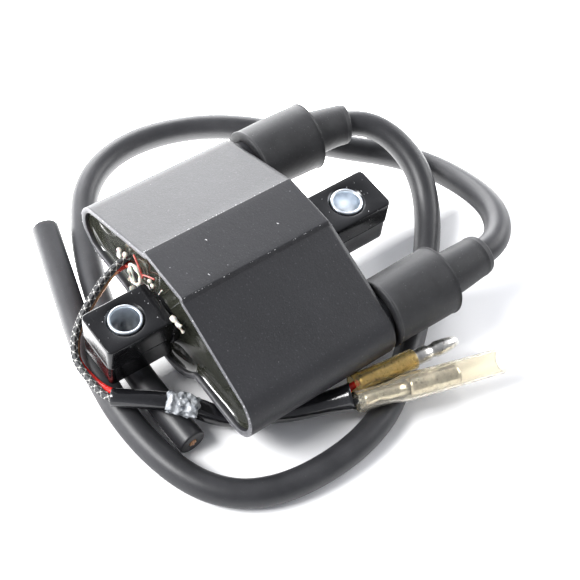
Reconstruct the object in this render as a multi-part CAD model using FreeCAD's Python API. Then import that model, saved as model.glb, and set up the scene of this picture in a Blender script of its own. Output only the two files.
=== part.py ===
"""Twin-output ignition coil, potted, with two moulded lugs and two high-tension leads.

Frame: millimetres, +Z up. The coil stands on the flat pad under its case at z = 0.
X runs across the case, Y runs along the iron core: the open, potted end of the case
and the front lug are at -Y, the two high-tension outlets and the rear lug at +Y.
"""
import FreeCAD
import Part
import math
import os

V = FreeCAD.Vector
X_AXIS = V(1, 0, 0)
Y_AXIS = V(0, 1, 0)
Z_AXIS = V(0, 0, 1)

# ---- driving dimensions, mm ------------------------------------------------------------

# Case: roof with two sloping facets and a raised pad, round noses, a flat floor under each
# wing and a round belly between them, concentric with the windings.
CASE_HEIGHT = 33.4
CASE_FRONT_Y = -30.0
CASE_BACK_Y = 13.0
PAD_WIDTH = 15.7
PAD_STEP = 1.2
PAD_BACK_Y = 11.9
NOSE_CENTRE_X = 28.8
NOSE_DROP = 0.9             # how far the nose centres lie below the core's axis
NOSE_RADIUS = 8.0
BELLY_RADIUS = 17.0
WALL = 1.5
BACK_WALL = 2.0
AXIS_Z = CASE_HEIGHT / 2

# High-tension towers on the back of the case, one near each nose.
TOWER_X = 28.0
TOWER_RADIUS = 6.2
TOWER_END_Y = 27.0
TOWER_BORE = 3.7
SPIKE_HOLE = 2.2

# Lugs: moulded blocks on the ends of the core, each with a steel sleeve.
LUG_HALF_WIDTH = 6.4
LUG_HALF_HEIGHT = 7.0
LUG_CORNER = 1.3
FRONT_LUG_END_Y = -48.2
FRONT_LUG_ROOT_Y = -30.7
REAR_LUG_ROOT_Y = 13.3
REAR_LUG_END_Y = 34.6
FRONT_HOLE_Y = -40.0
REAR_HOLE_Y = 25.0
BOSS_RADIUS = 6.6
BOSS_INNER_Y = 4.6          # how far inside the potting surface or back wall a boss starts
SLEEVE_RADIUS = 4.1
SLEEVE_BORE = 3.35
SLEEVE_PROUD = 0.2
GROOVE_RADIUS = 4.7
GROOVE_DEPTH = 0.5

# Magnetic circuit and windings, coaxial about the core.
CORE_WIDTH = 8.0
CORE_FRONT_Y = -35.0
CORE_BACK_Y = 19.5
LAMINATION_COUNT = 16
LAMINATION_GAP = 0.03
BOBBIN_FRONT_Y = -25.0
BOBBIN_BACK_Y = 4.0
FLANGE = 0.9
PRIMARY_TUBE_RADIUS = 6.7
PRIMARY_WINDING_RADIUS = 8.5
PRIMARY_FLANGE_RADIUS = 9.1
TAPE_RADIUS = 8.95
SECONDARY_TUBE_INNER = 9.3
SECONDARY_TUBE_RADIUS = 10.2
SECONDARY_WINDING_RADIUS = 12.4
SECONDARY_FLANGE_RADIUS = 13.3
SLOT_COUNT = 8
FIT_GAP = 0.05

# Potting
POTTING_RECESS = 0.8
FILLET_RADIUS = 9.6
FILLET_HEIGHT = 2.6
FILLET_ROOT = 0.4

# Rubber boots over the towers. The left one sits a little further out.
BOOT_RADIUS = 9.0
BOOT_LENGTH = 19.4
BOOT_START_Y = {"left": 15.0, "right": 13.9}
BOOT_BORE = 6.3
NECK_ROOT_RADIUS = 6.0
NECK_RADIUS = 5.4
NECK_LENGTH = {"left": 11.4, "right": 14.0}

# High-tension leads
LEAD_DIAMETER = 7.0
LEAD_BORE = 2.3
CONDUCTOR_DIAMETER = 2.1
LEAD_Z = LEAD_DIAMETER / 2
SPIKE_END_Y = 30.0
SPIKE_RADIUS = 1.0
SPIKE_POINT = 2.0
SPIKE_TIP_RADIUS = 0.15
SHANK_PROUD = 0.5
CONDUCTOR_START = 10.0      # distance along the lead at which the copper starts

# Primary leads, their sleeve and their terminals
BRAID_DIAMETER = 1.9
BRAID_BORE = 1.1
BRAID_WIRE_DIAMETER = 1.0
RED_DIAMETER = 1.8
RED_BORE = 1.0
RED_WIRE_DIAMETER = 0.9
PVC_DIAMETER = 5.0
PVC_BORE = 4.4
PVC_START = 2.8             # distance along its route at which the sleeve starts
WIRE_OFFSET = 1.0
WIRE_REACH = 2.8            # how far a primary lead goes along its terminal's axis

# Bullet terminals and their clear covers; distances run along the terminal's own axis
CRIMP_RADIUS = 1.5
CRIMP_START = 1.6
SOCKET_RADIUS = 2.3
SOCKET_START = 13.5
SOCKET_END = 26.5
BULLET_RADIUS = 1.95
BULLET_START = 11.5
BULLET_TIP = 4.0
BULLET_TIP_RADIUS = 1.2
FEMALE_COVER_NECK_RADIUS = 2.1
FEMALE_COVER_RADIUS = 2.8
FEMALE_SHOULDER = 10.5
SHOULDER_LAP = 0.5
COVER_WALL = 0.35
MALE_COVER_RADIUS = 2.15
MALE_COVER_WALL = 0.2
MALE_COVER_LENGTH = 17.5

# ---- routes of the leads ---------------------------------------------------------------

LEFT_LEAD_ROUTE = [
    (-28.0, 22.0, 16.7), (-28.0, 43.0, 16.7), (-21.0, 54.0, 16.3), (-6.5, 57.0, 12.0),
    (6.5, 51.5, 6.0), (21.0, 37.5, 3.5), (36.0, 20.0, 3.5), (48.8, 0.0, 3.5),
    (49.3, -27.0, 3.5), (39.5, -43.0, 3.5), (17.5, -48.8, 3.5), (-8.0, -46.6, 3.5),
    (-28.0, -41.0, 3.5), (-47.1, -35.5, 3.5),
]
RIGHT_LEAD_ROUTE = [
    (28.0, 22.0, 16.7), (28.3, 45.0, 16.7), (26.5, 56.5, 16.2), (15.0, 64.5, 12.8),
    (-2.5, 65.8, 6.8), (-17.0, 60.5, 3.5), (-30.0, 46.0, 3.5), (-52.5, 26.5, 3.5),
    (-61.5, 2.0, 3.5), (-56.5, -17.8, 3.5), (-37.5, -30.0, 3.5), (-14.0, -37.6, 3.5),
    (6.0, -39.5, 3.5), (26.4, -38.5, 3.5),
]
PVC_ROUTE = [
    (8.7, -49.6, 9.9), (14.0, -43.4, 10.6), (19.6, -35.9, 9.4), (25.0, -28.7, 3.1),
    (30.0, -20.2, 4.6), (34.8, -11.8, 5.8), (38.6, -3.6, 8.9),
]
BRAID_ROUTE_FRONT = [
    (-18.6, -27.0, 17.8), (-18.0, -32.4, 17.6), (-14.6, -40.6, 15.2), (-10.8, -47.6, 11.4),
    (-5.6, -51.2, 8.7), (1.6, -51.2, 8.9),
]
RED_ROUTE_FRONT = [
    (-18.1, -27.0, 15.9), (-17.6, -32.0, 15.8), (-14.2, -40.2, 13.4), (-10.4, -47.2, 9.6),
    (-5.2, -50.2, 6.9), (3.2, -49.2, 7.9),
]
FEMALE_AXIS = [(41.6, -2.3, 9.9), (52.2, 34.8, 9.6)]
MALE_AXIS = [(37.6, -0.6, 10.4), (41.8, 29.2, 10.2)]


# ---- helpers ---------------------------------------------------------------------------

def save(shape, node):
    """Write one node's solids to its STEP file."""
    shape.exportStep(f"parts/{node}.step")


def save_group(solids, node):
    save(Part.makeCompound(solids), node)


def cylinder_y(x, z, radius, y0, y1):
    """Solid cylinder along Y between y0 and y1."""
    return Part.makeCylinder(radius, y1 - y0, V(x, y0, z), Y_AXIS)


def ring_y(x, z, outer, inner, y0, y1):
    """Tube along Y between y0 and y1."""
    return cylinder_y(x, z, outer, y0, y1).cut(cylinder_y(x, z, inner, y0 - 1, y1 + 1))


def box(x0, x1, y0, y1, z0, z1):
    return Part.makeBox(x1 - x0, y1 - y0, z1 - z0, V(x0, y0, z0))


def prism_y(wire, y0, y1):
    """Extrude a closed wire drawn at y = y0 along Y to y1."""
    return Part.Face(wire).extrude(V(0, y1 - y0, 0))


# ---- cord paths: straight runs joined by tangent arcs ------------------------------------

ARC_SHARE = 0.45            # of the shorter run at a corner, taken up by the arc's tangent


def cord_path(points, label):
    """Wire of straight runs and tangent arcs through a route; prints each arc's radius."""
    route = [V(*p) for p in points]
    edges = []
    radii = []
    here = route[0]
    for before, corner, after in zip(route, route[1:], route[2:]):
        run_in = corner - before
        run_out = after - corner
        trim = ARC_SHARE * min(run_in.Length, run_out.Length)
        turn = run_in.getAngle(run_out)
        radii.append(trim / math.tan(turn / 2))
        start = corner - run_in.normalize() * trim
        end = corner + run_out.normalize() * trim
        towards_centre = (start + end) * 0.5 - corner
        reach = radii[-1] / math.cos(turn / 2) - radii[-1]
        middle = corner + towards_centre.normalize() * reach
        edges.append(Part.LineSegment(here, start).toShape())
        edges.append(Part.Arc(start, middle, end).toShape())
        here = end
    edges.append(Part.LineSegment(here, route[-1]).toShape())
    length = sum(edge.Length for edge in edges)
    print(label, "length", round(length, 1), "radii", [round(r, 1) for r in radii])
    return Part.Wire(edges)


def sweep(path, radius):
    """Round bar along a path."""
    first = path.Edges[0]
    start = first.valueAt(first.FirstParameter)
    section = Part.Wire(Part.makeCircle(radius, start, first.tangentAt(first.FirstParameter)))
    shell = Part.BRepOffsetAPI.MakePipeShell(path)
    shell.setFrenetMode(True)
    shell.add(section)
    shell.build()
    shell.makeSolid()
    return shell.shape()


def tube(path, outer_radius, inner_radius, label):
    """Hollow tube along a path, with its volume compared with section times length."""
    body = sweep(path, outer_radius).cut(sweep(path, inner_radius))
    expected = math.pi * (outer_radius ** 2 - inner_radius ** 2) * path.Length
    print(label, "volume ratio", round(body.Volume / expected, 4), "valid", body.isValid())
    return body


def bar(path, radius, label):
    body = sweep(path, radius)
    expected = math.pi * radius ** 2 * path.Length
    print(label, "volume ratio", round(body.Volume / expected, 4), "valid", body.isValid())
    return body


def cut_back(path, distance):
    """The path from a distance along its first, straight run to its end."""
    first = path.Edges[0]
    start = first.valueAt(first.FirstParameter + distance)
    end = first.valueAt(first.LastParameter)
    return Part.Wire([Part.LineSegment(start, end).toShape()] + path.Edges[1:])


# ---- case --------------------------------------------------------------------------------

def tangent_from(point_x, point_z, radius):
    """Where a line from a point touches the nose circle, on the side of the roof."""
    dx = point_x - NOSE_CENTRE_X
    dz = point_z
    angle = math.atan2(dz, dx) - math.acos(radius / math.hypot(dx, dz))
    return NOSE_CENTRE_X + radius * math.cos(angle), radius * math.sin(angle)


def wing_wire(y, half_flat, half_height, nose_radius):
    """Closed outline with a flat roof, two sloping facets, two round noses and a flat floor."""
    tx, tz = tangent_from(half_flat, half_height + NOSE_DROP, nose_radius)
    tip = NOSE_CENTRE_X + nose_radius

    def at(x, z):
        return V(x, y, AXIS_Z - NOSE_DROP + z)

    roof = half_height + NOSE_DROP
    edges = [
        Part.LineSegment(at(-half_flat, roof), at(half_flat, roof)).toShape(),
        Part.LineSegment(at(half_flat, roof), at(tx, tz)).toShape(),
        Part.Arc(at(tx, tz), at(tip, 0), at(NOSE_CENTRE_X, -nose_radius)).toShape(),
        Part.LineSegment(at(NOSE_CENTRE_X, -nose_radius), at(-NOSE_CENTRE_X, -nose_radius)).toShape(),
        Part.Arc(at(-NOSE_CENTRE_X, -nose_radius), at(-tip, 0), at(-tx, tz)).toShape(),
        Part.LineSegment(at(-tx, tz), at(-half_flat, roof)).toShape(),
    ]
    return Part.Wire(edges)


HALF_ROOF = CASE_HEIGHT / 2 - PAD_STEP
FLAT_NARROWING = 0.2        # the roof's flat narrows inside by this share of the wall


def case_prism(y0, y1, inset):
    """Outline of the case, pulled in by inset, as a solid: the wings and the belly."""
    half_flat = PAD_WIDTH / 2 - inset * FLAT_NARROWING
    wings = prism_y(wing_wire(y0, half_flat, HALF_ROOF - inset, NOSE_RADIUS - inset), y0, y1)
    round_belly = cylinder_y(0, AXIS_Z, BELLY_RADIUS - inset, y0, y1)
    lower_half = box(-BELLY_RADIUS, BELLY_RADIUS, y0, y1, inset, AXIS_Z)
    return wings.fuse(round_belly.common(lower_half)).removeSplitter()


def make_case():
    """Open-ended shell with the two towers on its back wall."""
    body = case_prism(CASE_FRONT_Y, CASE_BACK_Y, 0)
    half = PAD_WIDTH / 2
    body = body.fuse(box(-half, half, CASE_FRONT_Y, PAD_BACK_Y, AXIS_Z, CASE_HEIGHT))
    for x in (-TOWER_X, TOWER_X):
        body = body.fuse(cylinder_y(x, AXIS_Z, TOWER_RADIUS, CASE_BACK_Y - BACK_WALL, TOWER_END_Y))
    body = body.cut(case_prism(CASE_FRONT_Y - 1, CASE_BACK_Y - BACK_WALL, WALL))
    for x in (-TOWER_X, TOWER_X):
        body = body.cut(cylinder_y(x, AXIS_Z, TOWER_BORE, CASE_BACK_Y, TOWER_END_Y + 1))
        body = body.cut(cylinder_y(x, AXIS_Z, SPIKE_HOLE, CASE_BACK_Y - BACK_WALL - 1, CASE_BACK_Y + 1))
    rear_hole = cylinder_y(0, AXIS_Z, BOSS_RADIUS + FIT_GAP, CASE_BACK_Y - BACK_WALL - 1, CASE_BACK_Y + 1)
    return body.cut(rear_hole)


# ---- lugs and their sleeves ----------------------------------------------------------------

def lug_block(y_end, y_root):
    """Lug block with its two outer upright corners rounded off."""
    low = min(y_end, y_root)
    high = max(y_end, y_root)
    block = box(-LUG_HALF_WIDTH, LUG_HALF_WIDTH, low, high,
                AXIS_Z - LUG_HALF_HEIGHT, AXIS_Z + LUG_HALF_HEIGHT)
    corners = [edge for edge in block.Edges
               if abs(edge.tangentAt(0).z) > 0.9 and abs(edge.CenterOfMass.y - y_end) < 0.01]
    return block.makeFillet(LUG_CORNER, corners)


def sleeve_seat(y):
    """Through hole and the shallow groove round it on both faces of a lug."""
    height = 2 * LUG_HALF_HEIGHT
    low = AXIS_Z - LUG_HALF_HEIGHT
    seat = Part.makeCylinder(SLEEVE_RADIUS, height + 2, V(0, y, low - 1), Z_AXIS)
    for z in (low - 1, low + height - GROOVE_DEPTH):
        seat = seat.fuse(Part.makeCylinder(GROOVE_RADIUS, GROOVE_DEPTH + 1, V(0, y, z), Z_AXIS))
    return seat


def core_socket(y0, y1):
    half = CORE_WIDTH / 2 + FIT_GAP
    return box(-half, half, y0, y1, AXIS_Z - half, AXIS_Z + half)


def make_front_lug():
    boss_end = CASE_FRONT_Y + BOSS_INNER_Y
    lug = lug_block(FRONT_LUG_END_Y, FRONT_LUG_ROOT_Y)
    lug = lug.fuse(cylinder_y(0, AXIS_Z, BOSS_RADIUS, FRONT_LUG_ROOT_Y - 1, boss_end))
    lug = lug.cut(sleeve_seat(FRONT_HOLE_Y))
    return lug.cut(core_socket(CORE_FRONT_Y, boss_end + 1))


def make_rear_lug():
    boss_start = CASE_BACK_Y - BACK_WALL - BOSS_INNER_Y
    lug = lug_block(REAR_LUG_END_Y, REAR_LUG_ROOT_Y)
    lug = lug.fuse(cylinder_y(0, AXIS_Z, BOSS_RADIUS, boss_start, REAR_LUG_ROOT_Y + 1))
    lug = lug.cut(sleeve_seat(REAR_HOLE_Y))
    return lug.cut(core_socket(boss_start - 1, CORE_BACK_Y))


def make_lug_sleeve(y):
    height = 2 * (LUG_HALF_HEIGHT + SLEEVE_PROUD)
    base = V(0, y, AXIS_Z - height / 2)
    outer = Part.makeCylinder(SLEEVE_RADIUS, height, base, Z_AXIS)
    return outer.cut(Part.makeCylinder(SLEEVE_BORE, height, base, Z_AXIS))


# ---- core and windings -----------------------------------------------------------------------

def make_core():
    """Laminations stacked across X."""
    pitch = CORE_WIDTH / LAMINATION_COUNT
    half = CORE_WIDTH / 2
    sheets = []
    for i in range(LAMINATION_COUNT):
        x0 = -half + i * pitch
        sheets.append(box(x0, x0 + pitch - LAMINATION_GAP, CORE_FRONT_Y + FIT_GAP,
                          CORE_BACK_Y - FIT_GAP, AXIS_Z - half, AXIS_Z + half))
    return sheets


def make_primary_bobbin():
    bobbin = cylinder_y(0, AXIS_Z, PRIMARY_TUBE_RADIUS, BOBBIN_FRONT_Y, BOBBIN_BACK_Y)
    for y in (BOBBIN_FRONT_Y, BOBBIN_BACK_Y - FLANGE):
        bobbin = bobbin.fuse(cylinder_y(0, AXIS_Z, PRIMARY_FLANGE_RADIUS, y, y + FLANGE))
    return bobbin.cut(core_socket(BOBBIN_FRONT_Y - 1, BOBBIN_BACK_Y + 1))


def wound_span():
    """Where the windings start and end along Y, just clear of the end flanges."""
    return BOBBIN_FRONT_Y + FLANGE + FIT_GAP, BOBBIN_BACK_Y - FLANGE - FIT_GAP


def make_primary_winding():
    y0, y1 = wound_span()
    return ring_y(0, AXIS_Z, PRIMARY_WINDING_RADIUS, PRIMARY_TUBE_RADIUS + FIT_GAP, y0, y1)


def make_primary_tape():
    y0, y1 = wound_span()
    return ring_y(0, AXIS_Z, TAPE_RADIUS, PRIMARY_WINDING_RADIUS + FIT_GAP, y0, y1)


def slot_pitch():
    return (BOBBIN_BACK_Y - BOBBIN_FRONT_Y - FLANGE) / SLOT_COUNT


def make_secondary_bobbin():
    """Tube with a flange at each end and between each pair of winding slots."""
    bobbin = cylinder_y(0, AXIS_Z, SECONDARY_TUBE_RADIUS, BOBBIN_FRONT_Y, BOBBIN_BACK_Y)
    for i in range(SLOT_COUNT + 1):
        y = BOBBIN_FRONT_Y + i * slot_pitch()
        bobbin = bobbin.fuse(cylinder_y(0, AXIS_Z, SECONDARY_FLANGE_RADIUS, y, y + FLANGE))
    return bobbin.cut(cylinder_y(0, AXIS_Z, SECONDARY_TUBE_INNER, BOBBIN_FRONT_Y - 1, BOBBIN_BACK_Y + 1))


def make_secondary_winding():
    """One wound ring in each slot of the secondary bobbin."""
    rings = []
    for i in range(SLOT_COUNT):
        y0 = BOBBIN_FRONT_Y + i * slot_pitch() + FLANGE + FIT_GAP
        y1 = BOBBIN_FRONT_Y + (i + 1) * slot_pitch() - FIT_GAP
        rings.append(ring_y(0, AXIS_Z, SECONDARY_WINDING_RADIUS, SECONDARY_TUBE_RADIUS + FIT_GAP, y0, y1))
    return rings


# ---- high-tension connections ------------------------------------------------------------------

STRIP_THICKNESS = 0.6
STRIP_OVERRUN = 2.0
LEFT_PICKUP_INSET = 3.0
RIGHT_PICKUP_INSET = 1.0
STRIP_HALF_HEIGHT = 1.6
STRIP_END_Y = CASE_BACK_Y - BACK_WALL - 1.6      # front face of the spike's head
SPIKE_HEAD_RADIUS = 3.0
STRIP_START_X = 14.2


def make_strip(side):
    """Brass strip from one end of the secondary winding to the foot of a spike."""
    sign = -1 if side == "left" else 1
    z0 = AXIS_Z - STRIP_HALF_HEIGHT
    z1 = AXIS_Z + STRIP_HALF_HEIGHT
    pickup_y = {"left": BOBBIN_BACK_Y - LEFT_PICKUP_INSET, "right": BOBBIN_FRONT_Y + RIGHT_PICKUP_INSET}
    y_end = STRIP_END_Y - FIT_GAP

    def leg(xa, xb, y0, y1):
        return box(min(xa, xb), max(xa, xb), y0, y1, z0, z1)

    inner_x = sign * STRIP_START_X
    step_x = inner_x + sign * STRIP_THICKNESS
    along = leg(inner_x, step_x, pickup_y[side], y_end)
    across = leg(inner_x, sign * (TOWER_X + STRIP_OVERRUN), y_end - STRIP_THICKNESS, y_end)
    return along.fuse(across).removeSplitter()


def make_spike(side):
    """Brass screw that a high-tension lead is pushed on to."""
    x = -TOWER_X if side == "left" else TOWER_X
    head = cylinder_y(x, AXIS_Z, SPIKE_HEAD_RADIUS, STRIP_END_Y, CASE_BACK_Y - BACK_WALL - FIT_GAP)
    shank_start = CASE_BACK_Y - BACK_WALL - SHANK_PROUD
    shank = cylinder_y(x, AXIS_Z, SPIKE_HOLE - FIT_GAP, shank_start, CASE_BACK_Y + SHANK_PROUD)
    stem = cylinder_y(x, AXIS_Z, SPIKE_RADIUS, CASE_BACK_Y, SPIKE_END_Y - SPIKE_POINT)
    base = V(x, SPIKE_END_Y - SPIKE_POINT, AXIS_Z)
    point = Part.makeCone(SPIKE_RADIUS, SPIKE_TIP_RADIUS, SPIKE_POINT, base, Y_AXIS)
    return head.fuse([shank, stem, point]).removeSplitter()


def neck_path(lead_path, start, length):
    """The stretch of a lead's path that the boot's neck covers."""
    covered = []
    travelled = 0.0
    for edge in lead_path.Edges:
        begin = max(start - travelled, 0.0)
        finish = min(start + length - travelled, edge.Length)
        if finish - begin > 0.01:
            covered.append(sub_edge(edge, begin, finish))
        travelled += edge.Length
    return Part.Wire(covered)


def sub_edge(edge, begin, finish):
    """Part of a line or arc edge, between two distances along it."""
    p0 = edge.valueAt(edge.getParameterByLength(begin))
    p1 = edge.valueAt(edge.getParameterByLength((begin + finish) / 2))
    p2 = edge.valueAt(edge.getParameterByLength(finish))
    if isinstance(edge.Curve, Part.Line):
        return Part.LineSegment(p0, p2).toShape()
    return Part.Arc(p0, p1, p2).toShape()


def make_boot(side, lead_path):
    """Rubber boot: a barrel over the tower and a softer neck that follows the lead."""
    x = -TOWER_X if side == "left" else TOWER_X
    start_y = BOOT_START_Y[side]
    end_y = start_y + BOOT_LENGTH
    route_start_y = LEFT_LEAD_ROUTE[0][1]
    neck_length = NECK_LENGTH[side]
    neck = neck_path(lead_path, end_y - route_start_y - 1.0, neck_length + 1.0)
    barrel = cylinder_y(x, AXIS_Z, BOOT_RADIUS, start_y, end_y)
    outside = barrel.fuse(sweep(neck, NECK_RADIUS))
    inside_lead = neck_path(lead_path, 1.0, end_y - route_start_y + neck_length + 3.0)
    bore = sweep(inside_lead, LEAD_DIAMETER / 2 + FIT_GAP)
    tower_room = cylinder_y(x, AXIS_Z, BOOT_BORE, start_y - 1, TOWER_END_Y + 0.5)
    return outside.cut(tower_room).cut(bore)


# ---- primary leads and terminals -----------------------------------------------------------------

def axis_tools(axis):
    """Start point, unit direction and length of a terminal's axis."""
    start = V(*axis[0])
    run = V(*axis[1]) - start
    length = run.Length
    return start, run.normalize(), length


def rod(start, direction, radius, begin, finish):
    return Part.makeCylinder(radius, finish - begin, start + direction * begin, direction)


def make_female_insulator():
    """Long clear sleeve: narrow over the crimp, wider over the socket and beyond it."""
    start, direction, length = axis_tools(FEMALE_AXIS)
    neck, body = FEMALE_COVER_NECK_RADIUS, FEMALE_COVER_RADIUS
    shoulder = FEMALE_SHOULDER
    front = rod(start, direction, neck, 0, shoulder)
    outside = front.fuse(rod(start, direction, body, shoulder - SHOULDER_LAP, length))
    inside = rod(start, direction, neck - COVER_WALL, -1, shoulder + 1)
    inside = inside.fuse(rod(start, direction, body - COVER_WALL, shoulder, length + 1))
    return outside.removeSplitter().cut(inside)


def wire_socket(start, direction, wire_diameter):
    """Room for the end of a primary lead inside a crimp."""
    return rod(start, direction, wire_diameter / 2 + FIT_GAP, 0, WIRE_REACH + FIT_GAP)


def make_female_terminal():
    """Tinned socket with its crimp barrel."""
    start, direction, _ = axis_tools(FEMALE_AXIS)
    body = rod(start, direction, CRIMP_RADIUS, CRIMP_START, SOCKET_START)
    body = body.fuse(rod(start, direction, SOCKET_RADIUS, SOCKET_START - 0.5, SOCKET_END)).removeSplitter()
    body = body.cut(rod(start, direction, BULLET_RADIUS, SOCKET_START + 2, SOCKET_END + 1))
    return body.cut(wire_socket(start, direction, BRAID_DIAMETER))


def make_male_insulator():
    start, direction, _ = axis_tools(MALE_AXIS)
    inside = rod(start, direction, MALE_COVER_RADIUS - MALE_COVER_WALL, -1, MALE_COVER_LENGTH + 1)
    return rod(start, direction, MALE_COVER_RADIUS, 0, MALE_COVER_LENGTH).cut(inside)


def make_male_terminal():
    """Tinned bullet with its crimp barrel and a coned tip."""
    start, direction, length = axis_tools(MALE_AXIS)
    shoulder = length - BULLET_TIP
    crimp = rod(start, direction, CRIMP_RADIUS, CRIMP_START, BULLET_START + 0.5)
    barrel = rod(start, direction, BULLET_RADIUS, BULLET_START, shoulder)
    tip = Part.makeCone(BULLET_RADIUS, BULLET_TIP_RADIUS, BULLET_TIP, start + direction * shoulder, direction)
    body = crimp.fuse([barrel, tip]).removeSplitter()
    return body.cut(wire_socket(start, direction, RED_DIAMETER))


def beside(route, offset):
    """Inner points of a route, moved sideways so that the new route keeps its distance."""
    moved = []
    for before, here, after in zip(route, route[1:], route[2:]):
        run_in = V(here.x - before.x, here.y - before.y, 0).normalize()
        run_out = V(after.x - here.x, after.y - here.y, 0).normalize()
        along = (run_in + run_out).normalize()
        moved.append(here + V(along.y, -along.x, 0) * (offset / along.dot(run_in)))
    return moved


def wire_route(front, offset, axis):
    """Whole route of a primary lead: its free front, a line beside the sleeve's, its terminal."""
    approach = V(*BRAID_ROUTE_FRONT[-1]) * 0.5 + V(*RED_ROUTE_FRONT[-1]) * 0.5
    leaving = V(*FEMALE_AXIS[0]) * 0.5 + V(*MALE_AXIS[0]) * 0.5
    centre = [approach] + [V(*p) for p in PVC_ROUTE] + [leaving]
    start, direction, _ = axis_tools(axis)
    inner = [tuple(p) for p in beside(centre, offset)]
    return front + inner + [tuple(start), tuple(start + direction * WIRE_REACH)]


PIN_PLACES = [BRAID_ROUTE_FRONT[0], RED_ROUTE_FRONT[0]]
PIN_RADIUS = 0.45
PIN_LENGTH = 5.0
PIN_GAP = 0.2
RESIN_LUMPS = [(-20.6, 20.6, 1.5), (-11.8, 20.8, 2.3), (-9.0, 25.2, 1.2), (-20.8, 23.6, 1.0)]
GLUE_DROPS = [(16.6, -40.4, 12.3, 2.2), (18.8, -36.9, 10.8, 2.9), (20.4, -34.0, 8.4, 2.3)]


def make_pins():
    """Two tinned pins in the potting, where the primary winding meets its leads."""
    return [cylinder_y(x, z, PIN_RADIUS, y + PIN_GAP, y + PIN_LENGTH) for x, y, z in PIN_PLACES]


def make_resin_lumps():
    """Beads of cured resin left standing on the potting round the two lead ends."""
    surface = CASE_FRONT_Y + POTTING_RECESS
    return [Part.makeSphere(radius, V(x, surface, z)) for x, z, radius in RESIN_LUMPS]


def make_glue_blob(pvc_path):
    """Clear hot-melt blob on the sleeve just in front of the case."""
    drops = [Part.makeSphere(radius, V(x, y, z)) for x, y, z, radius in GLUE_DROPS]
    blob = drops[0].fuse(drops[1:])
    return blob.cut(sweep(pvc_path, PVC_DIAMETER / 2))


def make_potting(buried):
    """Epoxy that fills the case round everything buried in it, with a fillet up the boss."""
    surface = CASE_FRONT_Y + POTTING_RECESS
    back = CASE_BACK_Y - BACK_WALL
    fill = case_prism(surface, back, WALL)
    fillet = Part.makeCone(BOSS_RADIUS + FILLET_ROOT, FILLET_RADIUS, FILLET_HEIGHT + 1,
                           V(0, surface - FILLET_HEIGHT, AXIS_Z), Y_AXIS)
    fill = fill.fuse(fillet)
    coils = cylinder_y(0, AXIS_Z, SECONDARY_FLANGE_RADIUS, BOBBIN_FRONT_Y, BOBBIN_BACK_Y)
    front_boss = cylinder_y(0, AXIS_Z, BOSS_RADIUS, surface - FILLET_RADIUS, BOBBIN_FRONT_Y)
    rear_boss = cylinder_y(0, AXIS_Z, BOSS_RADIUS, back - BOSS_INNER_Y, back)
    half = CORE_WIDTH / 2
    core = box(-half, half, BOBBIN_BACK_Y - 1, back, AXIS_Z - half, AXIS_Z + half)
    return fill.cut([coils, front_boss, rear_boss, core] + buried).removeSplitter()


# ---- the whole coil ------------------------------------------------------------------------

def main():
    os.makedirs("parts", exist_ok=True)
    made = {}

    made["case"] = [make_case()]
    made["front_lug"] = [make_front_lug()]
    made["rear_lug"] = [make_rear_lug()]
    made["front_lug_sleeve"] = [make_lug_sleeve(FRONT_HOLE_Y)]
    made["rear_lug_sleeve"] = [make_lug_sleeve(REAR_HOLE_Y)]
    made["core_laminations"] = make_core()
    made["primary_bobbin"] = [make_primary_bobbin()]
    made["primary_winding"] = [make_primary_winding()]
    made["primary_tape"] = [make_primary_tape()]
    made["secondary_bobbin"] = [make_secondary_bobbin()]
    made["secondary_winding"] = make_secondary_winding()
    made["primary_pins"] = make_pins()

    routes = {"left": LEFT_LEAD_ROUTE, "right": RIGHT_LEAD_ROUTE}
    for side, route in routes.items():
        path = cord_path(route, f"ht_lead_{side}")
        made[f"ht_strip_{side}"] = [make_strip(side)]
        made[f"ht_spike_{side}"] = [make_spike(side)]
        made[f"ht_boot_{side}"] = [make_boot(side, path)]
        made[f"ht_lead_{side}"] = [tube(path, LEAD_DIAMETER / 2, LEAD_BORE / 2, f"ht_lead_{side}")]
        made[f"ht_conductor_{side}"] = [
            bar(cut_back(path, CONDUCTOR_START), CONDUCTOR_DIAMETER / 2, f"ht_conductor_{side}")]

    pvc_path = cut_back(cord_path(PVC_ROUTE, "pvc_sleeve"), PVC_START)
    made["pvc_sleeve"] = [tube(pvc_path, PVC_DIAMETER / 2, PVC_BORE / 2, "pvc_sleeve")]
    braid_path = cord_path(wire_route(BRAID_ROUTE_FRONT, WIRE_OFFSET, FEMALE_AXIS), "braided_lead")
    red_path = cord_path(wire_route(RED_ROUTE_FRONT, -WIRE_OFFSET, MALE_AXIS), "red_lead")
    made["braided_lead"] = [tube(braid_path, BRAID_DIAMETER / 2, BRAID_BORE / 2, "braided_lead")]
    made["braided_lead_wire"] = [bar(braid_path, BRAID_WIRE_DIAMETER / 2, "braided_lead_wire")]
    made["red_lead"] = [tube(red_path, RED_DIAMETER / 2, RED_BORE / 2, "red_lead")]
    made["red_lead_wire"] = [bar(red_path, RED_WIRE_DIAMETER / 2, "red_lead_wire")]
    made["female_terminal"] = [make_female_terminal()]
    made["female_insulator"] = [make_female_insulator()]
    made["male_terminal"] = [make_male_terminal()]
    made["male_insulator"] = [make_male_insulator()]

    made["glue_blob"] = [make_glue_blob(pvc_path)]

    lumps = make_resin_lumps()
    buried = made["ht_strip_left"] + made["ht_strip_right"] + made["ht_spike_left"] + made["ht_spike_right"]
    buried += made["primary_pins"] + made["front_lug"] + lumps
    buried += [sweep(braid_path, BRAID_DIAMETER / 2), sweep(red_path, RED_DIAMETER / 2)]
    made["resin_lumps"] = lumps
    made["potting"] = [make_potting(buried)]

    for node, solids in made.items():
        save_group(solids, node)
        print(node, len(solids), [round(s.Volume, 1) for s in solids][:3], all(s.isValid() for s in solids))


main()
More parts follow.
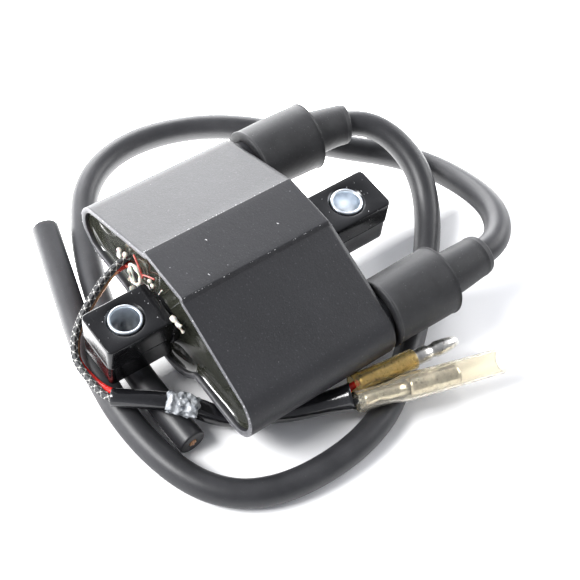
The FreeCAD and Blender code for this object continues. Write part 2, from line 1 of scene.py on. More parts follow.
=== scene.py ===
"""Looks of a potted twin-output ignition coil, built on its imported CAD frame.

Sizes here are in millimetres in the frame of the CAD model (X across the case, Y along the
core from the potted end to the high-tension outlets, Z up) and become metres in each mesh.
"""
import math
import random

import bmesh
import bpy
from mathutils import Matrix, Vector, noise


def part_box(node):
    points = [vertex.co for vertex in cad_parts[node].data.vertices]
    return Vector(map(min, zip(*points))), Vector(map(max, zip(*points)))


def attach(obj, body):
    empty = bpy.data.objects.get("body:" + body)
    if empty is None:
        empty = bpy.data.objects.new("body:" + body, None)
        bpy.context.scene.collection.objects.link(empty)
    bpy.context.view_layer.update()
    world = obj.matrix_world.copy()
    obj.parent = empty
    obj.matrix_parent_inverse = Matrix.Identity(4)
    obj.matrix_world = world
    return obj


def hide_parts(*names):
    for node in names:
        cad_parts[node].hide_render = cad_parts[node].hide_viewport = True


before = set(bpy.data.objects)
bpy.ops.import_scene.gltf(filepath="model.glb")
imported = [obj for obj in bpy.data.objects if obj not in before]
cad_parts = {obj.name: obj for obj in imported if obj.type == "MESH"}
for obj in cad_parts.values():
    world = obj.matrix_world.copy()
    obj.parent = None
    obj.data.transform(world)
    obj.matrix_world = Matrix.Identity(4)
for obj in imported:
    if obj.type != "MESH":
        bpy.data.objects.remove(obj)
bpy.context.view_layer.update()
MM = 0.001
BODY = "root"
random.seed(7)

# ---- driving sizes, shared with the CAD model, mm ----

CASE_LOW, CASE_HIGH = [[c / MM for c in corner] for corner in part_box("case")]
CASE_FRONT = CASE_LOW[1]
CASE_HEIGHT = CASE_HIGH[2]
CASE_BACK = 13.0
AXIS_Z = CASE_HEIGHT / 2
PAD_HALF = 7.85
PAD_STEP = 1.2
PAD_BACK = 11.9
NOSE_X = 28.8
NOSE_DROP = 0.9
NOSE_RADIUS = 8.0
BELLY_RADIUS = 17.0
WALL = 1.5
TOWER_X = 28.0
TOWER_RADIUS = 6.2
TOWER_END = CASE_HIGH[1]

LUG_HALF_WIDTH = 6.4
LUG_HALF_HEIGHT = 7.0
LUG_CORNER = 1.3
LUG_ROOT_CORNER = 0.6
FRONT_HOLE_Y = -40.0
FRONT_LUG_END = -48.2
FRONT_LUG_ROOT = -30.7
FRONT_BOSS_END = CASE_FRONT + 4.6
REAR_HOLE_Y = 25.0
REAR_LUG_END = 34.6
REAR_LUG_ROOT = 13.3
REAR_BOSS_END = 6.4
BOSS_RADIUS = 6.6
SLEEVE_RADIUS = 4.1
SLEEVE_BORE = 3.35
SLEEVE_PROUD = 0.2
GROOVE_RADIUS = 4.7

LEAD_RADIUS = 3.5
COPPER_RADIUS = 0.34
COPPER_LENGTH = 12.0
COPPER_STEP = 0.5
BOOT_RADIUS = 9.0
BOOT_LENGTH = 19.4
BOOT_START = {"left": 15.0, "right": 13.9}
NECK_LENGTH = {"left": 11.4, "right": 14.0}

# ---- routes of the leads, mm: the CAD model's, but RED_FRONT lies beside its CAD route ----

LEFT_LEAD_ROUTE = [
    (-28.0, 22.0, 16.7), (-28.0, 43.0, 16.7), (-21.0, 54.0, 16.3), (-6.5, 57.0, 12.0),
    (6.5, 51.5, 6.0), (21.0, 37.5, 3.5), (36.0, 20.0, 3.5), (48.8, 0.0, 3.5),
    (49.3, -27.0, 3.5), (39.5, -43.0, 3.5), (17.5, -48.8, 3.5), (-8.0, -46.6, 3.5),
    (-28.0, -41.0, 3.5), (-47.1, -35.5, 3.5),
]
RIGHT_LEAD_ROUTE = [
    (28.0, 22.0, 16.7), (28.3, 45.0, 16.7), (26.5, 56.5, 16.2), (15.0, 64.5, 12.8),
    (-2.5, 65.8, 6.8), (-17.0, 60.5, 3.5), (-30.0, 46.0, 3.5), (-52.5, 26.5, 3.5),
    (-61.5, 2.0, 3.5), (-56.5, -17.8, 3.5), (-37.5, -30.0, 3.5), (-14.0, -37.6, 3.5),
    (6.0, -39.5, 3.5), (26.4, -38.5, 3.5),
]
PVC_ROUTE = [
    (8.7, -49.6, 9.9), (14.0, -43.4, 10.6), (19.6, -35.9, 9.4), (25.0, -28.7, 3.1),
    (30.0, -20.2, 4.6), (34.8, -11.8, 5.8), (38.6, -3.6, 8.9),
]
BRAID_FRONT = [
    (-18.6, -27.0, 17.8), (-18.0, -32.4, 17.6), (-14.6, -40.6, 15.2), (-10.8, -47.6, 11.4),
    (-5.6, -51.2, 8.7), (1.6, -51.2, 8.9),
]
RED_FRONT = [
    (-18.1, -27.0, 15.9), (-18.4, -32.0, 15.8), (-15.5, -40.2, 13.4),
    (-11.7, -47.1, 9.7), (-6.4, -50.6, 7.0), (2.4, -49.8, 7.4),
]
FEMALE_AXIS = [(41.6, -2.3, 9.9), (52.2, 34.8, 9.6)]
MALE_AXIS = [(37.6, -0.6, 10.4), (41.8, 29.2, 10.2)]
SLEEVE_MOUTH = (39.7, -1.9, 9.6)
GLUE_SPAN = (12.6, 20.6)
GLUE_SIDE = Vector((0.25, -0.45, 0.86))
WIRE_OFFSET = 1.0
WIRE_REACH = 2.8
BRAID_DIAMETER = 1.9
RED_DIAMETER = 1.8

SPLINE_ORDER = 3
SPLINE_STEPS = 40


# ---- camera ----

def make_camera():
    """Camera at the reference view: above the right-hand front of the coil, slightly rolled."""
    data = bpy.data.cameras.new("camera")
    data.lens = 73.92
    data.sensor_width = 36.0
    data.clip_start = 0.01
    data.clip_end = 5.0
    cam = bpy.data.objects.new("camera", data)
    right = Vector((0.59313928, 0.79984015, 0.09187773))
    down = Vector((0.68912941, -0.44537827, -0.57161076))
    ahead = Vector((-0.41627689, 0.40236044, -0.81536472))
    shift = (-7.95061675, 2.45595683, 308.37947308)
    eye = -(right * shift[0] + down * shift[1] + ahead * shift[2])
    turn = Matrix((right, -down, -ahead)).transposed().to_4x4()
    cam.matrix_world = Matrix.Translation(eye * MM) @ turn
    bpy.context.scene.collection.objects.link(cam)
    bpy.context.scene.camera = cam


# ---- mesh helpers ----

def add_object(name, verts, faces, material):
    """Mesh object from points in mm; it rides on the coil's one body."""
    mesh = bpy.data.meshes.new(name)
    mesh.from_pydata([tuple(c * MM for c in v) for v in verts], [], faces)
    bm = bmesh.new()
    bm.from_mesh(mesh)
    bmesh.ops.recalc_face_normals(bm, faces=bm.faces)
    bm.to_mesh(mesh)
    bm.free()
    for face in mesh.polygons:
        face.use_smooth = True
    obj = bpy.data.objects.new(name, mesh)
    bpy.context.scene.collection.objects.link(obj)
    mesh.materials.append(material)
    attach(obj, BODY)
    return obj


class Shape:
    """Collects the points and faces of one mesh."""

    def __init__(self):
        self.verts = []
        self.faces = []
        self.accented = []

    def ring(self, points):
        start = len(self.verts)
        self.verts.extend(tuple(p) for p in points)
        return list(range(start, start + len(points)))

    def bridge(self, a, b):
        n = len(a)
        for i in range(n):
            j = (i + 1) % n
            self.faces.append((a[i], a[j], b[j], b[i]))

    def cap(self, ring):
        """Close a ring with a fan about its middle."""
        middle = Vector((0, 0, 0))
        for i in ring:
            middle += Vector(self.verts[i])
        self.verts.append(tuple(middle / len(ring)))
        hub = len(self.verts) - 1
        for i in range(len(ring)):
            self.faces.append((ring[i], ring[(i + 1) % len(ring)], hub))

    def loft(self, rings, closed=False, accent=()):
        """Skin a row of rings, joined end to end if closed or else capped at both ends.

        Bands numbered in accent get the shape's second material.
        """
        made = [self.ring(r) for r in rings]
        for k, (a, b) in enumerate(zip(made, made[1:])):
            first = len(self.faces)
            self.bridge(a, b)
            if k in accent:
                self.accented.extend(range(first, len(self.faces)))
        if closed:
            self.bridge(made[-1], made[0])
        else:
            self.cap(made[0])
            self.cap(made[-1])

    def make(self, name, material, slot=None, accent=None):
        obj = add_object(name, self.verts, self.faces, material)
        if accent:
            obj.data.materials.append(accent)
            for index in self.accented:
                obj.data.polygons[index].material_index = 1
        return obj


def rough(point, scale, depth, seed=0.0):
    """Smooth noise at a point, between plus and minus depth."""
    shifted = Vector(point) * (1.0 / scale) + Vector((seed, seed * 1.7, seed * 2.3))
    return noise.noise(shifted) * depth


def spline_points(route):
    """Points in mm along the NURBS spline that has the route as its control points."""
    curve = bpy.data.curves.new("route", "CURVE")
    curve.dimensions = "3D"
    curve.resolution_u = SPLINE_STEPS
    spline = curve.splines.new("NURBS")
    spline.points.add(len(route) - 1)
    for point, place in zip(spline.points, route):
        point.co = (place[0] * MM, place[1] * MM, place[2] * MM, 1.0)
    spline.order_u = SPLINE_ORDER
    spline.use_endpoint_u = True
    spline.resolution_u = SPLINE_STEPS
    obj = bpy.data.objects.new("route", curve)
    mesh = bpy.data.meshes.new_from_object(obj)
    points = [Vector(v.co) / MM for v in mesh.vertices]
    bpy.data.meshes.remove(mesh)
    bpy.data.objects.remove(obj)
    bpy.data.curves.remove(curve)
    return points


class Track:
    """A smooth line in space with a steady sideways direction at each distance along it."""

    def __init__(self, points):
        self.points = [points[0]]
        for p in points[1:]:
            if (p - self.points[-1]).length > 1e-4:
                self.points.append(p)
        self.at = [0.0]
        for a, b in zip(self.points, self.points[1:]):
            self.at.append(self.at[-1] + (b - a).length)
        self.length = self.at[-1]
        self.tangents = []
        for i in range(len(self.points)):
            a = self.points[max(i - 1, 0)]
            b = self.points[min(i + 1, len(self.points) - 1)]
            self.tangents.append((b - a).normalized())
        up = Vector((0, 0, 1))
        if abs(self.tangents[0].dot(up)) > 0.9:
            up = Vector((1, 0, 0))
        side = (up - self.tangents[0] * up.dot(self.tangents[0])).normalized()
        self.sides = [side]
        for t in self.tangents[1:]:
            side = (side - t * side.dot(t)).normalized()
            self.sides.append(side)

    def sample(self, s):
        """Place, direction and two square directions at a distance s."""
        s = min(max(s, 0.0), self.length)
        low, high = 0, len(self.at) - 1
        while high - low > 1:
            mid = (low + high) // 2
            if self.at[mid] <= s:
                low = mid
            else:
                high = mid
        f = (s - self.at[low]) / max(self.at[high] - self.at[low], 1e-9)
        place = self.points[low].lerp(self.points[high], f)
        tangent = self.tangents[low].lerp(self.tangents[high], f).normalized()
        side = self.sides[low].lerp(self.sides[high], f)
        side = (side - tangent * side.dot(tangent)).normalized()
        return place, tangent, side, tangent.cross(side)

    def circle(self, s, radius, sides, squash=1.0):
        """Ring of points round the line; radius may be a number or a function of angle."""
        place, _, u, v = self.sample(s)
        ring = []
        for i in range(sides):
            a = 2 * math.pi * i / sides
            r = radius(a) if callable(radius) else radius
            ring.append(place + u * (math.cos(a) * r) + v * (math.sin(a) * r * squash))
        return ring

    def circles(self, profile, sides, squash=1.0):
        """Rings from a profile of (distance, radius) pairs."""
        return [self.circle(s, r, sides, squash) for s, r in profile]

    def uneven(self, s, radius, sides, scale, depth, seed):
        """Ring whose radius wanders with smooth noise."""
        return self.circle(s, radius * (1 + rough(self.sample(s)[0], scale, depth, seed)), sides)


def level_ring(y, z, radius, sides):
    """Ring of points at one height, round an upright axis through X = 0."""
    ring = []
    for i in range(sides):
        a = 2 * math.pi * i / sides
        ring.append(Vector((math.cos(a) * radius, y + math.sin(a) * radius, z)))
    return ring


def straight(start, end, count=24):
    """Straight track between two points."""
    a, b = Vector(start), Vector(end)
    return Track([a.lerp(b, i / count) for i in range(count + 1)])


def spread(start, end, step):
    """Evenly spaced values from start to end, about step apart."""
    count = max(1, int(round((end - start) / step)))
    return [start + (end - start) * i / count for i in range(count + 1)]


# ---- materials ----

class Nodes:
    """Small helper that builds a principled material from procedural nodes."""

    def __init__(self, name):
        self.material = bpy.data.materials.new(name)
        self.material.use_nodes = True
        self.tree = self.material.node_tree
        self.shader = self.tree.nodes["Principled BSDF"]
        self.coords = self.tree.nodes.new("ShaderNodeTexCoord").outputs["Object"]
        self.noises = {}

    def new(self, kind, inputs=(), **settings):
        """Node with its settings and the values of its unlinked inputs."""
        node = self.tree.nodes.new(kind)
        for key, value in settings.items():
            setattr(node, key, value)
        for socket, value in dict(inputs).items():
            node.inputs[socket].default_value = value
        return node

    def link(self, a, b):
        self.tree.links.new(a, b)

    def set(self, **values):
        for key, value in values.items():
            self.shader.inputs[key.replace("_", " ")].default_value = value

    def noise(self, per_mm, detail=4.0, roughness=0.55, distortion=0.0, stretch=None):
        """Noise whose main grain is one cycle per 1/per_mm millimetres, made once per setting."""
        key = (per_mm, detail, roughness, distortion, stretch)
        if key not in self.noises:
            node = self.new("ShaderNodeTexNoise", {"Scale": per_mm / MM, "Detail": detail,
                                                   "Roughness": roughness, "Distortion": distortion})
            self.link(self.mapped(stretch), node.inputs["Vector"])
            self.noises[key] = node.outputs["Fac"]
        return self.noises[key]

    def mapped(self, stretch):
        if stretch is None:
            return self.coords
        mapping = self.new("ShaderNodeMapping", {"Scale": stretch})
        self.link(self.coords, mapping.inputs["Vector"])
        return mapping.outputs["Vector"]

    def ramp(self, value, stops):
        """Colour or grey from a value; stops are (position, grey or colour)."""
        node = self.new("ShaderNodeValToRGB")
        elements = node.color_ramp.elements
        while len(elements) < len(stops):
            elements.new(0.5)
        for element, (position, colour) in zip(elements, stops):
            element.position = position
            if not hasattr(colour, "__len__"):
                colour = (colour, colour, colour)
            element.color = tuple(colour) + (1.0,)
        self.link(value, node.inputs["Fac"])
        return node.outputs["Color"]

    def blend(self, factor, a, b):
        """Mix of a linked colour a and a plain colour b."""
        node = self.new("ShaderNodeMix", data_type="RGBA", blend_type="MIX")
        self.link(factor, node.inputs[0])
        self.link(a, node.inputs[6])
        node.inputs[7].default_value = b + (1.0,)
        return node.outputs[2]

    def colour(self, value):
        self.link(value, self.shader.inputs["Base Color"])

    def roughness(self, value, low, high):
        node = self.new("ShaderNodeMapRange", {"To Min": low, "To Max": high})
        self.link(value, node.inputs["Value"])
        self.link(node.outputs["Result"], self.shader.inputs["Roughness"])

    def bumps(self, *layers):
        """Stack of bump layers, each a (height output, depth in mm) pair."""
        normal = None
        for height, depth in layers:
            node = self.new("ShaderNodeBump", {"Distance": depth * MM, "Strength": 1.0})
            self.link(height, node.inputs["Height"])
            if normal is not None:
                self.link(normal, node.inputs["Normal"])
            normal = node.outputs["Normal"]
        self.link(normal, self.shader.inputs["Normal"])


def surface(name, tone, stops, sheen, roughness, bumps, specks=(), **inputs):
    """Material whose tone, roughness and bumps follow noises, with specks over the tone.

    tone and sheen are noise settings, roughness is its low and high end, bumps are pairs of
    noise settings and a depth in mm, and specks are (noise settings, ramp stops, colour).
    """
    m = Nodes(name)
    colour = m.ramp(m.noise(*tone), stops)
    for grain, speck_stops, speck_colour in specks:
        colour = m.blend(m.ramp(m.noise(*grain), speck_stops), colour, speck_colour)
    m.colour(colour)
    m.roughness(m.noise(*sheen), *roughness)
    m.set(**inputs)
    m.bumps(*[(m.noise(*grain), depth) for grain, depth in bumps])
    return m.material


def plain(name, grain, dark, light, roughness, bumps=(), bump=None, ends=(0.3, 0.7), **inputs):
    """Surface with one noise for tone and roughness, and for a bump of its own depth if given."""
    layers = list(bumps) + ([(grain, bump)] if bump else [])
    stops = [(ends[0], dark), (ends[1], light)]
    return surface(name, grain, stops, grain, roughness, layers, **inputs)


def clear_vinyl(name, tint):
    pale = tuple(min(1.0, c * 1.05) for c in tint)
    return plain(name, (0.35, 3.0, 0.5), tint, pale, (0.04, 0.14),
                 [((0.25, 2.0), 0.12), ((1.5, 3.0), 0.02)], ends=(0.3, 0.8),
                 Transmission_Weight=0.93, IOR=1.35)


def winding_enamel():
    """Enamelled copper: fine turns side by side."""
    m = Nodes("winding_enamel")
    turns = m.new("ShaderNodeTexWave", {"Scale": 0.9 / MM, "Distortion": 0.6}, bands_direction="Y")
    m.link(m.coords, turns.inputs["Vector"])
    height = turns.outputs["Fac"]
    m.colour(m.ramp(height, [(0.2, (0.16, 0.045, 0.012)), (0.8, (0.50, 0.17, 0.05))]))
    m.roughness(height, 0.2, 0.4)
    m.set(Metallic=0.6, Coat_Weight=0.5)
    m.bumps((height, 0.1))
    return m.material


def white_floor_painted_glow():
    """White paper with painted light: an emission glows towards the left, where the backdrop is brightest.
    """
    m = Nodes("white_floor_painted_glow")
    cloud = m.noise(0.004, 3.0, 0.5)
    m.colour(m.ramp(cloud, [(0.3, (0.93, 0.93, 0.935)), (0.8, (0.95, 0.95, 0.955))]))
    # painted light: the floor's emission, strongest at its left and gone towards the right, stands in for
    # light falling there
    m.set(Emission_Color=(1.0, 1.0, 1.0, 1.0))
    parts = m.new("ShaderNodeSeparateXYZ")
    glow = m.new("ShaderNodeMapRange", {"From Min": -0.020, "From Max": 0.006, "To Min": 5.0, "To Max": 0.0})
    m.link(m.coords, parts.inputs["Vector"])
    m.link(parts.outputs["X"], glow.inputs["Value"])
    m.link(glow.outputs["Result"], m.shader.inputs["Emission Strength"])
    m.roughness(cloud, 0.5, 0.6)
    m.bumps((m.noise(0.5, 3.0), 0.01))
    return m.material


CASE_GRAIN = (1.7, 5.0, 0.7)
SCUFFS = (0.9, 5.0, 0.7, 1.5, (0.25, 1.0, 3.0))
BOOT_DUST = (0.25, 5.0, 0.7, 0.6)
LEAD_CLOUD = (0.12, 4.0, 0.6)
BOBBIN_GRAIN = (1.6, 5.0, 0.6)
PVC_GRAIN = (1.0, 4.0, 0.6)

MAT = {
    "case": surface(
        "case_plastic", (0.05, 3.0, 0.5), [(0.3, (0.010, 0.010, 0.012)), (0.75, (0.016, 0.016, 0.019))],
        CASE_GRAIN, (0.40, 0.60), [(CASE_GRAIN, 0.05), ((0.35, 3.0), 0.04)],
        [((2.4, 1.0, 0.5), [(0.66, 0.0), (0.76, 1.0)], (0.035, 0.035, 0.040)),
         ((1.3, 1.0, 0.5), [(0.80, 0.0), (0.84, 1.0)], (0.16, 0.16, 0.17))]),
    "lug": surface(
        "lug_plastic", (0.12, 3.0), [(0.3, (0.005, 0.005, 0.0055)), (0.8, (0.008, 0.008, 0.009))],
        SCUFFS, (0.10, 0.24), [((1.8, 6.0, 0.6), 0.012), ((0.25, 2.0), 0.04)],
        [(SCUFFS, [(0.66, 0.0), (0.74, 1.0)], (0.03, 0.03, 0.032)),
         ((1.5, 1.0, 0.5), [(0.76, 0.0), (0.79, 1.0)], (0.45, 0.45, 0.46))]),
    "boot": surface(
        "boot_rubber", BOOT_DUST, [(0.35, (0.008, 0.008, 0.009)), (0.75, (0.018, 0.018, 0.020))],
        BOOT_DUST, (0.48, 0.68), [((3.0, 6.0, 0.7), 0.02), ((0.3, 2.0), 0.08)],
        [((4.5, 1.0, 0.5), [(0.74, 0.0), (0.80, 1.0)], (0.16, 0.16, 0.16))]),
    "lead": surface(
        "lead_jacket", LEAD_CLOUD, [(0.3, (0.017, 0.017, 0.019)), (0.8, (0.030, 0.030, 0.033))],
        LEAD_CLOUD, (0.36, 0.52), [((2.2, 6.0, 0.65), 0.015), ((0.22, 2.0), 0.05)],
        [((5.0, 1.0), [(0.72, 0.0), (0.82, 1.0)], (0.12, 0.12, 0.12))]),
    # thin pale moulding flash and scuffed corners; the paleness of the flakes along the rim and the pad's
    # edges is partly painted highlight
    "flash": plain("flash_and_painted_edge_highlight", (2.5, 5.0, 0.7), (0.35, 0.35, 0.36), (0.85, 0.85, 0.86),
                   (0.35, 0.6), bump=0.05),
    # cut edge of the case: rougher than the moulded skin, and paler as a painted highlight along the rim
    "rim": plain("rim_painted_highlight", (1.6, 5.0, 0.7), (0.07, 0.07, 0.075), (0.16, 0.16, 0.17),
                 (0.3, 0.5), bump=0.06),
    "potting": surface(
        "potting_resin", (0.10, 4.0, 0.6, 0.8),
        [(0.3, (0.020, 0.021, 0.016)), (0.6, (0.027, 0.028, 0.021)), (0.85, (0.034, 0.035, 0.026))],
        (0.5, 5.0, 0.7), (0.05, 0.16), [((0.12, 2.0, 0.5, 0.3), 0.08), ((1.3, 3.0), 0.012)],
        [((0.30, 6.0, 0.75, 1.2), [(0.64, 0.0), (0.80, 0.5)], (0.05, 0.055, 0.042))],
        Coat_Weight=0.4, Coat_Roughness=0.05),
    "steel": plain("turned_steel", (0.6, 5.0, 0.6), (0.66, 0.71, 0.76), (0.86, 0.90, 0.95),
                   (0.22, 0.42), [((1.2, 3.0), 0.02)], ends=(0.25, 0.75), Metallic=1.0),
    "tin": plain("tinned_metal", (0.9, 6.0, 0.7), (0.48, 0.46, 0.42), (0.84, 0.83, 0.80),
                 (0.18, 0.42), [((2.5, 4.0), 0.012)], Metallic=1.0),
    "brass": plain("brass", (0.8, 6.0, 0.7), (0.50, 0.33, 0.10), (0.80, 0.60, 0.26),
                   (0.22, 0.45), [((2.5, 4.0), 0.012)], Metallic=1.0),
    "copper": plain("copper", (1.5, 5.0, 0.7), (0.45, 0.22, 0.10), (0.86, 0.52, 0.32),
                    (0.2, 0.4), [((5.0, 2.0), 0.01)], Metallic=1.0),
    "winding": winding_enamel(),
    "lamination": plain("lamination_steel", (2.0, 5.0, 0.6, 0.0, (1.0, 0.1, 1.0)), (0.20, 0.20, 0.21),
                        (0.45, 0.45, 0.46), (0.3, 0.55), bump=0.02, Metallic=1.0),
    "bobbin": surface("bobbin_plastic", (0.2, 3.0), [(0.3, (0.05, 0.035, 0.02)), (0.8, (0.09, 0.065, 0.04))],
                      BOBBIN_GRAIN, (0.35, 0.6), [(BOBBIN_GRAIN, 0.02)]),
    "tape": plain("tape_film", (0.6, 4.0, 0.6, 0.5, (1.0, 3.0, 1.0)), (0.42, 0.28, 0.06),
                  (0.62, 0.46, 0.14), (0.15, 0.35), bump=0.05),
    "pvc": surface("pvc_gloss", (0.2, 4.0), [(0.3, (0.006, 0.006, 0.007)), (0.8, (0.014, 0.014, 0.016))],
                   PVC_GRAIN, (0.10, 0.24), [((0.4, 3.0), 0.10), (PVC_GRAIN, 0.01)],
                   Coat_Weight=0.3, Coat_Roughness=0.08),
    "fibre_black": plain("fibre_black", (6.0, 3.0, 0.7), (0.010, 0.010, 0.011), (0.04, 0.04, 0.042),
                         (0.35, 0.6), bump=0.02),
    "fibre_white": plain("fibre_white", (6.0, 3.0, 0.7), (0.30, 0.30, 0.28), (0.62, 0.61, 0.58),
                         (0.35, 0.6), bump=0.02),
    "red": plain("red_gloss", (0.5, 4.0, 0.6), (0.50, 0.008, 0.006), (0.72, 0.022, 0.014),
                 (0.16, 0.32), [((1.2, 3.0), 0.03)], ends=(0.3, 0.75),
                 Subsurface_Weight=0.1, Subsurface_Scale=0.0008),
    "vinyl": clear_vinyl("vinyl_clear", (1.0, 0.93, 0.80)),
    "vinyl_yellow": clear_vinyl("vinyl_yellow", (1.0, 0.80, 0.42)),
    # hot-melt glue full of folds: half clear, half milky, with sharp glints
    "glue": plain("milky_glue", (0.7, 4.0, 0.6), (0.16, 0.18, 0.21), (0.80, 0.83, 0.86),
                  (0.03, 0.14), [((0.9, 3.0), 0.35), ((2.2, 2.0), 0.08)], ends=(0.35, 0.6),
                  Transmission_Weight=0.35, IOR=1.48, Coat_Weight=0.8, Coat_Roughness=0.03),
    # pale cream resin; its drops by the wire exit are painted highlights standing in for glints on clear
    # epoxy
    "cream": plain("cream_resin_and_painted_highlight", (0.6, 4.0, 0.6), (0.55, 0.53, 0.44), (0.86, 0.85, 0.78),
                   (0.12, 0.35), [((1.2, 3.0), 0.08)], ends=(0.3, 0.75),
                   Subsurface_Weight=0.25, Subsurface_Scale=0.001),
    "salmon": plain("salmon_enamel", (1.2, 4.0, 0.6), (0.30, 0.03, 0.025), (0.62, 0.15, 0.12),
                    (0.15, 0.35), [((3.0, 2.0), 0.02)], ends=(0.3, 0.75)),
    "floor": white_floor_painted_glow(),
}

KEPT_NODES = {
    "lamination": ("core_laminations",), "tape": ("primary_tape",), "tin": ("primary_pins",),
    "bobbin": ("primary_bobbin", "secondary_bobbin"),
    "winding": ("primary_winding", "secondary_winding"),
    "brass": ("ht_strip_left", "ht_strip_right", "ht_spike_left", "ht_spike_right"),
    "copper": ("braided_lead_wire", "red_lead_wire"),
}


def paint_kept_nodes():
    """New materials for the CAD nodes that stay as they are."""
    for key, nodes in KEPT_NODES.items():
        for node in nodes:
            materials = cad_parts[node].data.materials
            materials.clear()
            materials.append(MAT[key])


# ---- case ----

def arc(centre, radius, start, end, count):
    """Points of an arc in the X-Z plane, angles in radians."""
    points = []
    for i in range(count + 1):
        a = start + (end - start) * i / count
        points.append((centre[0] + radius * math.cos(a), centre[1] + radius * math.sin(a)))
    return points


def fillet(before, corner, after, radius, count):
    """Arc that rounds a corner of an outline."""
    b, c, a = Vector(before), Vector(corner), Vector(after)
    into = (b - c).normalized()
    out = (a - c).normalized()
    half = into.angle(out) / 2
    reach = radius / math.tan(half)
    p0 = c + into * reach
    p1 = c + out * reach
    middle = c + (into + out).normalized() * (radius / math.sin(half))
    points = []
    for i in range(count + 1):
        f = i / count
        spoke = (p0 - middle).lerp(p1 - middle, f).normalized() * radius
        points.append(tuple(middle + spoke))
    return points


def upper_quarter(step):
    """Outline of the case's upper right quarter, from the roof's middle to the nose's tip."""
    roof = CASE_HEIGHT / 2 - PAD_STEP
    top = roof + step
    dx, dz = PAD_HALF - NOSE_X, roof + NOSE_DROP
    touch = math.atan2(dz, dx) - math.acos(NOSE_RADIUS / math.hypot(dx, dz))
    tangent = (NOSE_X + NOSE_RADIUS * math.cos(touch), NOSE_RADIUS * math.sin(touch) - NOSE_DROP)
    outline = [(x, top) for x in (0.0, 2.0, 4.0, 6.0)]
    corner = (PAD_HALF, top)
    foot_corner = (PAD_HALF + 0.35 * step, roof)
    if step > 0.3:
        outline += fillet((0.0, top), corner, foot_corner, 0.45, 5)
        outline += fillet(corner, foot_corner, tangent, 0.5, 3)
    else:
        outline += fillet((0.0, top), corner, tangent, 0.3, 5)
        for f in (0.03, 0.04, 0.05, 0.06):
            outline.append(Vector(foot_corner).lerp(Vector(tangent), f)[:])
    for f in (0.15, 0.3, 0.45, 0.6, 0.75, 0.9):
        p = Vector(foot_corner).lerp(Vector(tangent), f)
        outline.append((p.x, p.y))
    return outline + arc((NOSE_X, -NOSE_DROP), NOSE_RADIUS, touch, 0.0, 16)


def lower_quarter():
    """From the nose's tip along the flat floor of the wing and round the belly."""
    floor = -NOSE_DROP - NOSE_RADIUS
    meet = math.sqrt(BELLY_RADIUS ** 2 - floor ** 2)
    flat = math.sqrt(BELLY_RADIUS ** 2 - AXIS_Z ** 2)
    outline = arc((NOSE_X, -NOSE_DROP), NOSE_RADIUS, 0.0, -math.pi / 2, 16)[1:]
    outline += [(x, floor) for x in (26.0, 23.0, 20.0, 17.5)]
    start, end = math.atan2(floor, meet), math.atan2(-AXIS_Z, flat)
    round_belly = arc((0.0, 0.0), BELLY_RADIUS, start, end, 14)
    outline += fillet((17.5, floor), (meet, floor), round_belly[2], 0.6, 4)
    return outline + round_belly[2:] + [(flat / 2, -AXIS_Z), (0.0, -AXIS_Z)]


def case_outline(step, inset):
    """Whole outline about the axis, pulled in by inset along its own normals."""
    right = upper_quarter(step) + lower_quarter()
    left = [(-x, z) for x, z in reversed(right[1:-1])]
    loop = right + left
    n = len(loop)
    moved = []
    for i, (x, z) in enumerate(loop):
        ax, az = loop[i - 1]
        bx, bz = loop[(i + 1) % n]
        tx, tz = bx - ax, bz - az
        size = math.hypot(tx, tz)
        moved.append((x + tz / size * inset, z - tx / size * inset))
    return moved


def case_ring(y, step, inset, wobble=0.0, seed=0.0):
    ring = []
    for x, z in case_outline(step, inset):
        p = Vector((x, y, AXIS_Z + z))
        if wobble:
            p.y += rough(p, 2.5, wobble, seed)
        ring.append(p)
    return ring


def make_case():
    """Outer skin, rim and inner skin as one closed shell, with the two towers behind."""
    shape = Shape()
    rings = [case_ring(y, step, inset) for y, step, inset in
             ((CASE_BACK, 0.0, 1.4), (CASE_BACK - 0.1, 0.0, 0.8), (CASE_BACK - 0.45, 0.0, 0.2),
              (PAD_BACK + 0.05, 0.0, 0.0), (PAD_BACK - 0.05, PAD_STEP * 0.9, 0.0),
              (PAD_BACK - 0.4, PAD_STEP, 0.0))]
    front = CASE_FRONT
    for y in spread(PAD_BACK - 1.0, front + 0.8, 2.0):
        rings.append(case_ring(y, PAD_STEP, 0.0))
    rim = len(rings)
    rings.append(case_ring(front + 0.22, PAD_STEP, 0.0))
    for back, inset, wobble in ((0.05, 0.08, 0.10), (0.0, 0.25, 0.12), (0.02, 1.2, 0.14),
                                (0.22, WALL, 0.05)):
        rings.append(case_ring(front + back, PAD_STEP, inset, wobble, 3.0))
    for y in (front + 0.8, front + 3.0, 0.0, CASE_BACK - 2.0):
        rings.append(case_ring(y, PAD_STEP, WALL + 0.02 * (y - front)))
    # the four rim bands take the rim material, whose paler tone is a painted highlight
    shape.loft(rings, accent=range(rim, rim + 4))
    for side in (-1, 1):
        x = side * TOWER_X
        tower = straight((x, CASE_BACK - 1.0, AXIS_Z), (x, TOWER_END, AXIS_Z))
        profile = [(0.0, 6.2), (1.1, 6.8), (1.6, 6.35), (2.4, TOWER_RADIUS),
                   (14.4, TOWER_RADIUS - 0.15), (15.0, TOWER_RADIUS - 0.5), (15.0, 3.8), (2.4, 3.7)]
        shape.loft(tower.circles(profile, 48))
    obj = shape.make("case_shell", MAT["case"], "case_plastic", MAT["rim"])
    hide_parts("case")


FACET_SLOPE = 0.455


